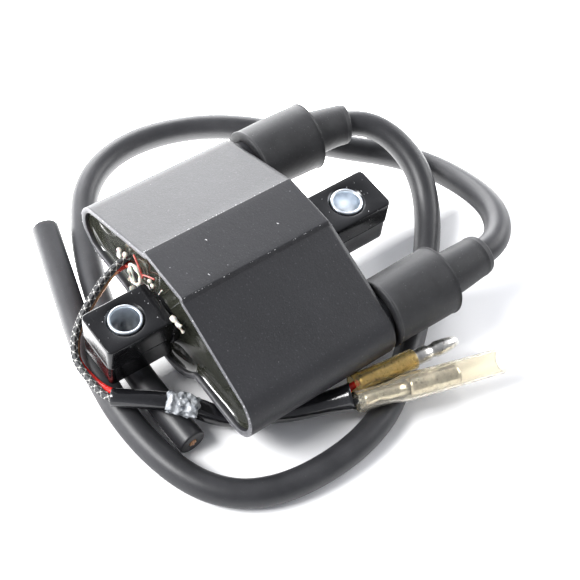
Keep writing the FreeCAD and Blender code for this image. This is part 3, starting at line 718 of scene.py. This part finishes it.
def make_flash():
    """Scraps of moulding flash along the rim and the pad's edges, and a few scuffs; their pale colour partly
    paints highlights on those edges.
    """
    shape = Shape()
    rng = random.Random(21)
    loop = case_outline(PAD_STEP, 0.12)

    def flake(centre, size, thin, along):
        along = Vector(along).normalized()
        side = along.orthogonal().normalized()
        up = along.cross(side)
        spin = rng.random() * math.pi
        u = side * math.cos(spin) + up * math.sin(spin)
        v = along.cross(u)
        rings = []
        for f, w in ((-1.0, 0.15), (-0.45, 0.8), (0.1, 1.0), (0.6, 0.55), (1.0, 0.1)):
            wide = size * 0.4 * w * (0.7 + 0.6 * rng.random())
            middle = centre + along * (f * size) + u * (rng.random() - 0.5) * size * 0.3
            rings.append([middle + u * wide, middle + v * thin * w,
                          middle - u * wide, middle - v * thin * w])
        shape.loft(rings)

    for _ in range(130):
        i = rng.randrange(len(loop))
        x, z = loop[i]
        nx, nz = loop[(i + 1) % len(loop)]
        f = rng.random()
        centre = Vector((x + (nx - x) * f, CASE_FRONT + rng.uniform(-0.02, 0.12),
                         AXIS_Z + (z + (nz - z) * f)))
        size = rng.uniform(0.08, 0.34)
        flake(centre, size, 0.06, (nx - x, rng.uniform(-0.6, 0.6), nz - z))
    for side in (-1, 1):
        for _ in range(26):
            y = CASE_FRONT + rng.random() ** 1.6 * 40.0
            centre = Vector((side * (PAD_HALF + 0.02), y, CASE_HEIGHT - 0.10))
            flake(centre, rng.uniform(0.06, 0.22), 0.04, (0.1, 1.0, 0.1))
    for x, y, size in ((-16.4, -13.6, 1.0), (-15.6, -13.0, 0.8), (-16.9, -14.3, 0.6),
                       (13.0, -8.0, 0.35), (2.0, 1.0, 0.3), (-3.0, -16.0, 0.35), (5.5, -21.0, 0.3)):
        if abs(x) < PAD_HALF:
            z, fall = CASE_HEIGHT, 0.0
        else:
            z = CASE_HEIGHT - PAD_STEP - (abs(x) - PAD_HALF) * FACET_SLOPE
            fall = -FACET_SLOPE * math.copysign(1, x)
        flake(Vector((x, y, z)), size, 0.05, (1.0, 0.5, fall))
    shape.make("mould_flash", MAT["flash"], "case_plastic")


# ---- potting ----

POTTING_DEPTH = 2.2
POTTING_BACK = 9.0


def make_potting():
    """Cast surface: climbs the wall and the boss, sags between them, with soft ripples."""
    outer = case_outline(PAD_STEP * 0.4, WALL - 0.1)
    surface_y = CASE_FRONT + POTTING_DEPTH
    back_y = CASE_FRONT + POTTING_BACK
    rings = []
    steps = 46
    for k in range(steps + 1):
        f = k / steps
        ring = []
        for x, z in outer:
            angle = math.atan2(z, x)
            boss = BOSS_RADIUS - 0.1
            bx, bz = math.cos(angle) * boss, math.sin(angle) * boss
            px, pz = x + (bx - x) * f, z + (bz - z) * f
            from_wall = math.hypot(x - px, z - pz)
            from_boss = math.hypot(px - bx, pz - bz)
            y = surface_y
            y -= 1.3 * math.exp(-from_wall / 0.9)
            y -= (1.6 + 1.6 * max(0.0, -math.sin(angle))) * math.exp(-from_boss / 2.2)
            here = Vector((px, 0.0, pz))
            calm = min(1.0, from_wall / 1.5)
            y += rough(here, 12.0, 0.5, 4.0) * calm + rough(here, 4.0, 0.05, 9.0) * calm
            ring.append(Vector((px, y, AXIS_Z + pz)))
        rings.append(ring)
    back_outer = [Vector((x, back_y, AXIS_Z + z)) for x, z in outer]
    back_inner = [Vector((p.x, back_y, p.z)) for p in rings[-1]]
    shape = Shape()
    shape.loft([back_outer] + rings + [back_inner], closed=True)
    obj = shape.make("potting_surface", MAT["potting"], "potting_resin")
    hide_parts("potting")


# ---- lugs ----

def lug_reach(angle, hole_y, y_end, y_root, inset):
    """Distance from the hole's axis to the lug's rounded outline in one direction."""
    low, high = min(y_end, y_root) + inset, max(y_end, y_root) - inset
    half = LUG_HALF_WIDTH - inset
    outer_is_low = y_end < y_root
    dx, dy = math.cos(angle), math.sin(angle)
    tx = half / abs(dx) if abs(dx) > 1e-6 else 1e9
    if abs(dy) > 1e-6:
        ty = ((high if dy > 0 else low) - hole_y) / dy
    else:
        ty = 1e9
    best = min(tx, ty)
    for sign in (-1, 1):
        for outer in (True, False):
            radius = max(0.2, (LUG_CORNER if outer else LUG_ROOT_CORNER) - inset)
            cy = (low + radius) if (outer == outer_is_low) else (high - radius)
            cx = sign * (half - radius)
            px, py = cx, cy - hole_y
            b = dx * px + dy * py
            c = px * px + py * py - radius * radius
            disc = b * b - c
            if disc <= 0:
                continue
            t = b + math.sqrt(disc)
            hx, hy = dx * t, dy * t + hole_y
            beyond_x = sign * (hx - cx) > 0
            beyond_y = (hy < cy) if (outer == outer_is_low) else (hy > cy)
            if beyond_x and beyond_y:
                best = min(best, t)
    return best


def make_lug(name, node, hole_y, y_end, y_root, boss_end):
    """Block round a sleeve seat, with a parting line at mid-height, and a round boss behind."""
    shape = Shape()
    sides = 160
    top = AXIS_Z + LUG_HALF_HEIGHT
    low = AXIS_Z - LUG_HALF_HEIGHT

    def ring_at(z, inset):
        points = []
        for i in range(sides):
            a = 2 * math.pi * i / sides
            r = lug_reach(a, hole_y, y_end, y_root, inset)
            p = Vector((math.cos(a) * r, hole_y + math.sin(a) * r, z))
            p += Vector((math.cos(a), math.sin(a), 0)) * rough(p, 4.0, 0.06, 2.0)
            points.append(p)
        return points

    groove = [(0.5, SLEEVE_RADIUS - 0.02), (0.5, GROOVE_RADIUS - 0.15), (0.05, GROOVE_RADIUS),
              (0.0, GROOVE_RADIUS + 0.12)]
    middle = AXIS_Z + 0.2
    side = [(top, 0.4), (top - 0.03, 0.2), (top - 0.16, 0.05), (top - 0.36, 0.0), (top - 2.5, 0.0),
            (top - 4.5, 0.0), (middle + 0.35, 0.0), (middle + 0.14, 0.0), (middle + 0.05, -0.06),
            (middle - 0.05, -0.04), (middle - 0.12, 0.16), (middle - 0.3, 0.2), (low + 4.0, 0.2),
            (low + 2.0, 0.2), (low + 0.7, 0.2), (low + 0.28, 0.26), (low + 0.06, 0.42), (low, 0.6)]
    rings = [level_ring(hole_y, top - depth, radius, sides) for depth, radius in groove]
    rings += [ring_at(z, inset) for z, inset in side]
    rings += [level_ring(hole_y, low + depth, radius, sides) for depth, radius in reversed(groove)]
    shape.loft(rings, closed=True)

    outward = 1 if y_end > y_root else -1
    boss = straight((0, y_root + outward * 1.0, AXIS_Z), (0, boss_end, AXIS_Z))
    length = boss.length
    profile = [(0.0, BOSS_RADIUS - 0.1), (1.0, BOSS_RADIUS + 0.25), (1.4, BOSS_RADIUS + 0.05),
               (2.0, BOSS_RADIUS), (length - 0.3, BOSS_RADIUS), (length, BOSS_RADIUS - 0.3)]
    shape.loft(boss.circles(profile, 72))
    obj = shape.make(name, MAT["lug"], "lug_plastic")
    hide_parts(node)


def make_sleeve(name, node, hole_y):
    """Turned steel sleeve with chamfered, faintly ringed ends."""
    shape = Shape()
    half = LUG_HALF_HEIGHT + SLEEVE_PROUD
    bore, rim = SLEEVE_BORE, SLEEVE_RADIUS
    section = [(bore, -half + 0.35), (bore, half - 0.35), (bore + 0.12, half - 0.1),
               (bore + 0.25, half - 0.02), (bore + 0.38, half - 0.05), (rim - 0.25, half),
               (rim - 0.05, half - 0.12), (rim, half - 0.3), (rim, -half + 0.3),
               (rim - 0.05, -half + 0.12), (rim - 0.25, -half), (bore + 0.38, -half + 0.05),
               (bore + 0.12, -half + 0.1)]
    shape.loft([level_ring(hole_y, AXIS_Z + z, r, 96) for r, z in section], closed=True)
    obj = shape.make(name, MAT["steel"], "steel_sleeve")
    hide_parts(node)


# ---- high-tension leads and boots ----

def make_lead(side, route):
    """Jacket, bare copper at its cut end, and the boot on its first stretch."""
    track = Track(spline_points(route))
    end = track.length

    jacket = Shape()
    rings = [track.uneven(s, LEAD_RADIUS, 40, 14.0, 0.02, 5.0) for s in spread(0.0, end - 0.5, 1.2)]
    cut_end = [(end - 0.2, LEAD_RADIUS - 0.04), (end - 0.03, LEAD_RADIUS - 0.18),
               (end, LEAD_RADIUS - 0.5), (end, LEAD_RADIUS - 1.2), (end, 1.5), (end, 1.12),
               (end - 1.5, 1.08)]
    jacket.loft(rings + track.circles(cut_end, 40))
    lead = jacket.make(f"lead_{side}", MAT["lead"], "lead_jacket")
    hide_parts(f"ht_lead_{side}")

    core = Shape()
    strands = [(0.0, 0.0)] + [(0.7, math.pi / 3 * i) for i in range(6)]
    for off, turn in strands:
        loops = []
        for k, s in enumerate(spread(end - COPPER_LENGTH, end, COPPER_STEP)):
            place, tangent, u, v = track.sample(s)
            a = turn + s * 0.35
            centre = place + u * (off * math.cos(a)) + v * (off * math.sin(a))
            if k == COPPER_LENGTH / COPPER_STEP:
                centre = centre + tangent * (0.12 + 0.1 * random.random())
            loops.append([centre + u * (COPPER_RADIUS * math.cos(b)) + v * (COPPER_RADIUS * math.sin(b))
                          for b in (2 * math.pi * j / 12 for j in range(12))])
        core.loft(loops)
    wire = core.make(f"copper_{side}", MAT["copper"], "copper_strand")
    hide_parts(f"ht_conductor_{side}")

    make_boot(side, route, track)


def make_boot(side, route, track):
    """Rubber boot with flash rings, a shoulder and a neck that tapers along the lead."""
    x, y0, z = route[0]
    start = BOOT_START[side]
    lead_in = [Vector((x, start - 1.0 + i, z)) for i in range(int(y0 - start) + 1)]
    line = Track([p for p in lead_in if p.y < y0 - 0.2] + track.points)
    end = 1.0 + BOOT_LENGTH
    neck_end = end + NECK_LENGTH[side] + 0.3
    barrel = BOOT_RADIUS
    profile = [
        (1.3, 6.3), (1.0, 6.6), (0.98, barrel - 0.5), (1.08, barrel - 0.12), (1.3, barrel + 0.02),
        (1.55, barrel + 0.02), (1.75, barrel - 0.1), (2.1, barrel - 0.12), (8.0, barrel - 0.1),
        (14.0, barrel - 0.06), (end - 0.9, barrel - 0.08), (end - 0.62, barrel - 0.02),
        (end - 0.5, barrel + 0.16), (end - 0.34, barrel + 0.16), (end - 0.2, barrel - 0.1),
        (end - 0.04, barrel - 0.5), (end + 0.05, barrel - 1.2), (end + 0.1, 6.6), (end + 0.35, 6.15),
        (end + 0.9, 5.98), (end + 4.0, 5.8), (neck_end - 4.0, 5.5), (neck_end - 1.9, 5.42),
        (neck_end - 1.72, 5.5), (neck_end - 1.55, 5.5), (neck_end - 1.4, 5.4), (neck_end - 0.5, 5.36),
        (neck_end - 0.15, 5.2), (neck_end, 4.9), (neck_end + 0.02, 3.95), (neck_end - 0.2, 3.6),
        (neck_end - 1.5, 3.5),
    ]
    shape = Shape()
    dense = []
    for (s0, r0), (s1, r1) in zip(profile, profile[1:]):
        steps = max(1, int(abs(s1 - s0) / 0.8))
        dense += [(s0 + (s1 - s0) * f, r0 + (r1 - r0) * f) for f in (i / steps for i in range(steps))]
    rings = []
    for s, r in dense + profile[-1:]:
        rings.append(line.circle(s, lambda a, r=r, s=s: r * (1 + 0.006 * math.sin(2 * a + s * 0.2)), 72))
    shape.loft(rings)
    boot = shape.make(f"boot_{side}", MAT["boot"], "boot_rubber")
    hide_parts(f"ht_boot_{side}")


# ---- primary leads ----

def beside(route, offset):
    """Inner points of a route, moved sideways so that the new route keeps its distance."""
    moved = []
    for before, here, after in zip(route, route[1:], route[2:]):
        run_in = Vector((here.x - before.x, here.y - before.y, 0)).normalized()
        run_out = Vector((after.x - here.x, after.y - here.y, 0)).normalized()
        along = (run_in + run_out).normalized()
        moved.append(here + Vector((along.y, -along.x, 0)) * (offset / along.dot(run_in)))
    return moved


def wire_route(front, offset, axis):
    """Whole route of a primary lead: its free front, a line beside the sleeve's, its terminal."""
    approach = (Vector(BRAID_FRONT[-1]) + Vector(RED_FRONT[-1])) * 0.5
    leaving = (Vector(FEMALE_AXIS[0]) + Vector(MALE_AXIS[0])) * 0.5
    centre = [approach] + [Vector(p) for p in PVC_ROUTE] + [leaving]
    start, direction = Vector(axis[0]), (Vector(axis[1]) - Vector(axis[0])).normalized()
    inner = [tuple(p) for p in beside(centre, offset)]
    return front + inner + [tuple(start), tuple(start + direction * WIRE_REACH)]


def make_braid(terminal):
    """Varnished glass braid: right-hand and left-hand strands that pass over and under."""
    track = Track(spline_points(wire_route(BRAID_FRONT, WIRE_OFFSET, FEMALE_AXIS)))
    radius = BRAID_DIAMETER / 2
    black, white = Shape(), Shape()
    rings = [track.circle(s, radius - 0.24, 16) for s in spread(0.0, track.length, 1.0)]
    black.loft(rings)
    per_side = 10
    pitch = 4.4
    half_w, half_t = 0.19, 0.07
    for hand in (-1, 1):
        for n in range(per_side):
            target = white if (n % 5 == 0) else black
            loops = []
            for s in spread(0.1, track.length - 0.1, 0.16):
                place, tangent, u, v = track.sample(s)
                a = hand * (2 * math.pi * s / pitch) + 2 * math.pi * n / per_side
                wave = 2 * math.pi * s / pitch * per_side / 2
                over = 0.11 * math.sin(wave + (math.pi if hand > 0 else 0) + n * math.pi)
                outward = u * math.cos(a) + v * math.sin(a)
                around = v * math.cos(a) - u * math.sin(a)
                heading = (tangent + around * (hand * 2 * math.pi * radius / pitch)).normalized()
                across = outward.cross(heading)
                centre = place + outward * (radius - 0.14 + over)
                loops.append([centre + across * half_w, centre + outward * half_t + across * half_w * 0.5,
                              centre + outward * half_t - across * half_w * 0.5, centre - across * half_w,
                              centre - outward * half_t])
            target.loft(loops)
    light = white.make("braid_white", MAT["fibre_white"], "fibre_braid")
    dark = black.make("braid_black", MAT["fibre_black"], "fibre_braid")
    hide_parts("braided_lead")


def make_red_wire(terminal):
    """Red jacket of the second primary lead, faintly uneven."""
    track = Track(spline_points(wire_route(RED_FRONT, -WIRE_OFFSET, MALE_AXIS)))
    shape = Shape()
    stations = spread(0.0, track.length, 0.6)
    shape.loft([track.uneven(s, RED_DIAMETER / 2, 24, 5.0, 0.05, 8.0) for s in stations])
    wire = shape.make("red_wire", MAT["red"], "red_jacket")
    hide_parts("red_lead")


def make_pvc_sleeve():
    """Glossy sleeve: snug at its start, slack in the middle, stretched open at its mouth."""
    track = Track(spline_points(PVC_ROUTE[:-1] + [SLEEVE_MOUTH]))
    length = track.length

    def outer(s):
        f = s / length
        slack = 2.15 + 0.5 * min(1.0, f * 1.6)
        mouth = 0.75 * max(0.0, (f - 0.86) / 0.14) ** 1.4
        return slack + mouth

    shape = Shape()
    wall = 0.32
    sides = 48
    stations = spread(0.2, length, 0.7)
    rings = [track.circle(s, outer(s) - wall, sides) for s in reversed(stations)]
    rings.append(track.circle(0.05, outer(0.0) - wall * 0.7, sides))
    rings.append(track.circle(0.05, outer(0.0) - wall * 0.2, sides))
    rings += [track.uneven(s, outer(s), sides, 4.0, 0.03, 6.0) for s in stations]
    rings.append(track.circle(length, outer(length) - 0.1, sides))
    shape.loft(rings, closed=True)
    sleeve = shape.make("pvc_tube", MAT["pvc"], "pvc_black")
    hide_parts("pvc_sleeve")


# ---- terminals ----

def tube_of(shape, track, profile, wall, sides=40):
    """Open tube from an outside profile of (distance, radius) pairs and a wall."""
    inside = [(s, r - wall) for s, r in reversed(profile)]
    shape.loft(track.circles(profile + inside, sides), closed=True)


def crimp_rings(track, end):
    """Crimp barrel pressed flat in the middle."""
    return [track.circle(s, r, 32, squash=q) for s, r, q in
            ((1.6, 1.2, 1.0), (1.9, 1.65, 1.0), (3.6, 1.75, 0.9), (5.6, 1.7, 0.7), (7.6, 1.75, 0.9),
             (9.6, 1.55, 1.0), (end, 1.7, 1.0))]


def make_female_terminal():
    """Socket with its crimp barrel, in a clear cover."""
    track = straight(*FEMALE_AXIS)
    end = track.length
    metal = Shape()
    tube_of(metal, track, [(13.4, 2.0), (14.2, 2.3), (15.0, 2.35), (19.6, 2.35), (20.3, 2.1), (21.0, 2.35),
                           (25.6, 2.35), (26.5, 2.6)], 0.35)
    metal.loft(crimp_rings(track, 14.0))
    socket = metal.make("female_socket", MAT["tin"], "tinned_metal")
    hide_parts("female_terminal")

    cover = Shape()
    profile = [(-0.2, 2.5), (0.1, 2.65), (2.0, 2.6), (5.0, 2.55), (7.4, 2.55), (7.8, 2.72), (8.2, 2.6),
               (9.6, 2.75), (11.0, 3.1), (12.4, 3.3), (18.0, 3.35), (26.0, 3.3), (31.0, 3.2),
               (end - 1.5, 3.2), (end - 0.3, 3.25), (end, 3.15)]
    tube_of(cover, track, profile, 0.5, 56)
    vinyl = cover.make("female_cover", MAT["vinyl"], "clear_vinyl")
    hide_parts("female_insulator")
    return [socket, vinyl]


def make_male_terminal():
    """Bullet with its crimp barrel, in a yellowish clear cover."""
    track = straight(*MALE_AXIS)
    end = track.length
    metal = Shape()
    body = [(12.0, 2.0), (17.6, 2.0), (18.0, 1.85), (18.4, 2.0), (21.4, 2.0), (21.8, 1.72), (22.6, 1.66),
            (23.4, 1.74), (23.8, 1.98), (25.6, 1.95), (end - 2.2, 1.7), (end - 0.5, 1.25),
            (end - 0.1, 1.05), (end, 0.8), (end - 0.02, 0.5)]
    metal.loft(crimp_rings(track, 11.5) + track.circles(body, 32))
    bullet = metal.make("male_bullet", MAT["tin"], "tinned_metal")
    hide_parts("male_terminal")

    cover = Shape()
    profile = [(-0.2, 2.55), (0.1, 2.65), (3.0, 2.5), (6.6, 2.45), (7.0, 2.6), (7.4, 2.45), (12.0, 2.5),
               (15.0, 2.55), (17.2, 2.6), (17.5, 2.5)]
    tube_of(cover, track, profile, 0.35, 48)
    vinyl = cover.make("male_cover", MAT["vinyl_yellow"], "clear_vinyl")
    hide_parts("male_insulator")
    return [bullet, vinyl]


# ---- small resin pieces ----

def drop_of_resin(shape, centre, radius, seed):
    """Uneven rounded drop, a little flatter against the surface behind it."""
    rings = []
    for k in range(1, 16):
        polar = math.pi * k / 16
        ring = []
        for i in range(24):
            turn = 2 * math.pi * i / 24
            way = Vector((math.sin(polar) * math.cos(turn), -0.8 * math.cos(polar),
                          math.sin(polar) * math.sin(turn)))
            ring.append(centre + way * radius * (1 + rough(way, 1.1, 0.35, seed)))
        rings.append(ring)
    shape.loft(rings)


def make_glue():
    """Crumpled clear glue on the upper side of the sleeve."""
    line = Track(spline_points(PVC_ROUTE[:-1] + [SLEEVE_MOUTH]))
    wrap = Shape()
    sides = 72
    start, stop = GLUE_SPAN
    rings = []
    for s in spread(start, stop, 0.16):
        place, _, u, v = line.sample(s)
        end = min(1.0, (s - start) / 1.2, (stop - s) / 1.6)
        ring = []
        for i in range(sides):
            a = 2 * math.pi * i / sides
            out = u * math.cos(a) + v * math.sin(a)
            facing = max(0.0, out.dot(GLUE_SIDE))
            here = place + out * 3.0
            crumple = 0.4 + rough(here, 1.7, 0.8, 3.0) + rough(here, 0.8, 0.25, 8.0)
            ragged = max(0.0, min(1.0, end + rough(here, 1.6, 0.8, 5.0)))
            ring.append(place + out * (2.3 + ragged * facing ** 0.5 * (0.4 + 1.5 * max(0.0, crumple))))
        rings.append(ring)
    wrap.loft(rings)
    glue = wrap.make("hot_glue", MAT["glue"], "clear_glue")
    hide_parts("glue_blob")


def make_resin():
    """Drops, drips and threads of cured resin, and tails of the winding's wire; the pale drops by the wire
    exit are painted highlights of glints on clear epoxy.
    """
    skin = CASE_FRONT + 1.0
    drops = Shape()
    # pale drops by the wire exit: painted highlights of glints on clear epoxy lumps
    places = ((-20.2, 17.8, 0.9), (-20.4, 19.2, 0.7), (-17.6, 20.8, 0.8), (-14.6, 10.0, 0.9),
              (-16.0, 12.4, 0.5), (-6.6, 22.7, 0.6), (-5.4, 22.0, 0.7))
    for seed, (x, z, radius) in enumerate(places):
        drop_of_resin(drops, Vector((x, skin - 0.1, z)), radius, seed)
    lumps = drops.make("resin_beads_painted_highlight", MAT["cream"], "resin_cream")
    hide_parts("resin_lumps")

    y = skin - 0.2
    loop = [(-15.4, 18.6), (-14.6, 20.6), (-12.8, 21.2), (-11.0, 20.2), (-10.4, 17.8),
            (-11.6, 15.2), (-13.4, 13.6), (-15.2, 14.2), (-15.8, 16.2), (-15.5, 18.2)]
    # name, thickness, how much it beats along its length, route
    resin = (
        ("resin_loop", 0.42, 0.4, [(x, y, z) for x, z in loop]),
        ("resin_strand", 0.3, 0.3, [(-14.6, y - 0.3, 19.4), (-13.4, y - 0.4, 17.6), (-13.0, y - 0.2, 15.4)]),
        ("resin_drip", 0.5, 0.5, [(5.2, -31.0, 24.0), (6.6, -30.6, 23.6), (8.4, -30.2, 23.2)]),
        ("resin_spill", 0.42, 0.4, [(6.8, -30.5, 23.4), (7.6, -30.2, 21.8), (8.6, -29.7, 20.6)]),
        ("resin_thread", 0.16, 0.0, [(-0.2, -29.9, 27.2), (-1.0, -29.8, 25.6), (-1.7, -29.8, 23.6)]),
    )
    tails = (
        ("winding_tail_long", 0.26, 0.0, [(-13.6, y + 0.1, 25.2), (-12.0, y - 0.1, 24.4),
                                          (-10.4, y - 0.1, 22.8), (-9.6, y, 20.4)]),
        ("winding_tail_fork", 0.2, 0.0, [(-9.8, y, 21.4), (-8.0, y - 0.1, 23.6), (-4.8, y + 0.2, 25.4)]),
        ("winding_tail_short", 0.3, 0.0, [(-19.4, y, 15.2), (-17.8, y - 0.2, 16.8), (-16.0, y, 17.4)]),
    )
    for pieces, look, slot in ((resin, "cream", "resin_cream"), (tails, "salmon", "winding_wire")):
        for name, thick, beat, route in pieces:
            line = Track(spline_points(route))
            profile = [(s, thick * (1 + beat * math.sin(s * 1.9))) for s in spread(0.0, line.length, 0.25)]
            shape = Shape()
            shape.loft(line.circles(profile, 14))
            shape.make(name, MAT[look], slot)


# ---- stage ----

def make_stage():
    """Paper floor with painted light glowing at its left, three area lamps and a world that is brightest at
    the left.
    """
    size = 1.6
    mesh = bpy.data.meshes.new("floor")
    corners = [(-size, -size, 0), (size, -size, 0), (size, size, 0), (-size, size, 0)]
    mesh.from_pydata(corners, [], [(0, 1, 2, 3)])
    floor = bpy.data.objects.new("floor", mesh)
    mesh.materials.append(MAT["floor"])
    bpy.context.scene.collection.objects.link(floor)

    def area(name, place, aim, size_x, size_y, power):
        data = bpy.data.lights.new(name, "AREA")
        data.shape = "RECTANGLE"
        data.size = size_x
        data.size_y = size_y
        data.energy = power
        lamp = bpy.data.objects.new(name, data)
        lamp.location = place
        lamp.rotation_euler = (Vector(aim) - Vector(place)).to_track_quat("-Z", "Y").to_euler()
        bpy.context.scene.collection.objects.link(lamp)

    area("left_box", (-0.95, 0.30, 0.36), (0, 0, 0.02), 0.8, 0.55, 12.5)
    area("front_key", (-0.35, -0.85, 0.95), (0, 0, 0), 0.5, 0.5, 26.0)
    area("back_box", (0.15, 0.95, 0.55), (0, 0, 0), 0.8, 0.35, 7.0)

    world = bpy.data.worlds.new("world")
    world.use_nodes = True
    tree = world.node_tree
    background = tree.nodes["Background"]
    coords, parts, ramp, left = [tree.nodes.new("ShaderNode" + kind) for kind in
                                 ("TexCoord", "SeparateXYZ", "ValToRGB", "MapRange")]
    elements = ramp.color_ramp.elements
    elements.new(0.5)
    for element, (position, grey) in zip(elements, ((0.0, 1.0), (0.45, 0.55), (0.9, 0.20))):
        element.position = position
        element.color = (grey * 0.96, grey * 0.985, grey * 1.06, 1.0)
    for socket, value in (("From Min", -1.0), ("To Min", 3.3), ("To Max", 0.35)):
        left.inputs[socket].default_value = value
    for source, target in ((coords.outputs["Generated"], parts.inputs["Vector"]),
                           (parts.outputs["Z"], ramp.inputs["Fac"]),
                           (parts.outputs["X"], left.inputs["Value"]),
                           (ramp.outputs["Color"], background.inputs["Color"]),
                           (left.outputs["Result"], background.inputs["Strength"])):
        tree.links.new(source, target)
    bpy.context.scene.world = world
    bpy.context.scene.view_settings.view_transform = "Standard"


# ---- build ----

make_camera()
paint_kept_nodes()
make_case()
make_flash()
make_potting()
make_lug("front_lug_block", "front_lug", FRONT_HOLE_Y, FRONT_LUG_END, FRONT_LUG_ROOT, FRONT_BOSS_END)
make_lug("rear_lug_block", "rear_lug", REAR_HOLE_Y, REAR_LUG_END, REAR_LUG_ROOT, REAR_BOSS_END)
make_sleeve("front_sleeve", "front_lug_sleeve", FRONT_HOLE_Y)
make_sleeve("rear_sleeve", "rear_lug_sleeve", REAR_HOLE_Y)
make_lead("left", LEFT_LEAD_ROUTE)
make_lead("right", RIGHT_LEAD_ROUTE)
make_braid(make_female_terminal())
make_red_wire(make_male_terminal())
make_pvc_sleeve()
make_glue()
make_resin()
make_stage()
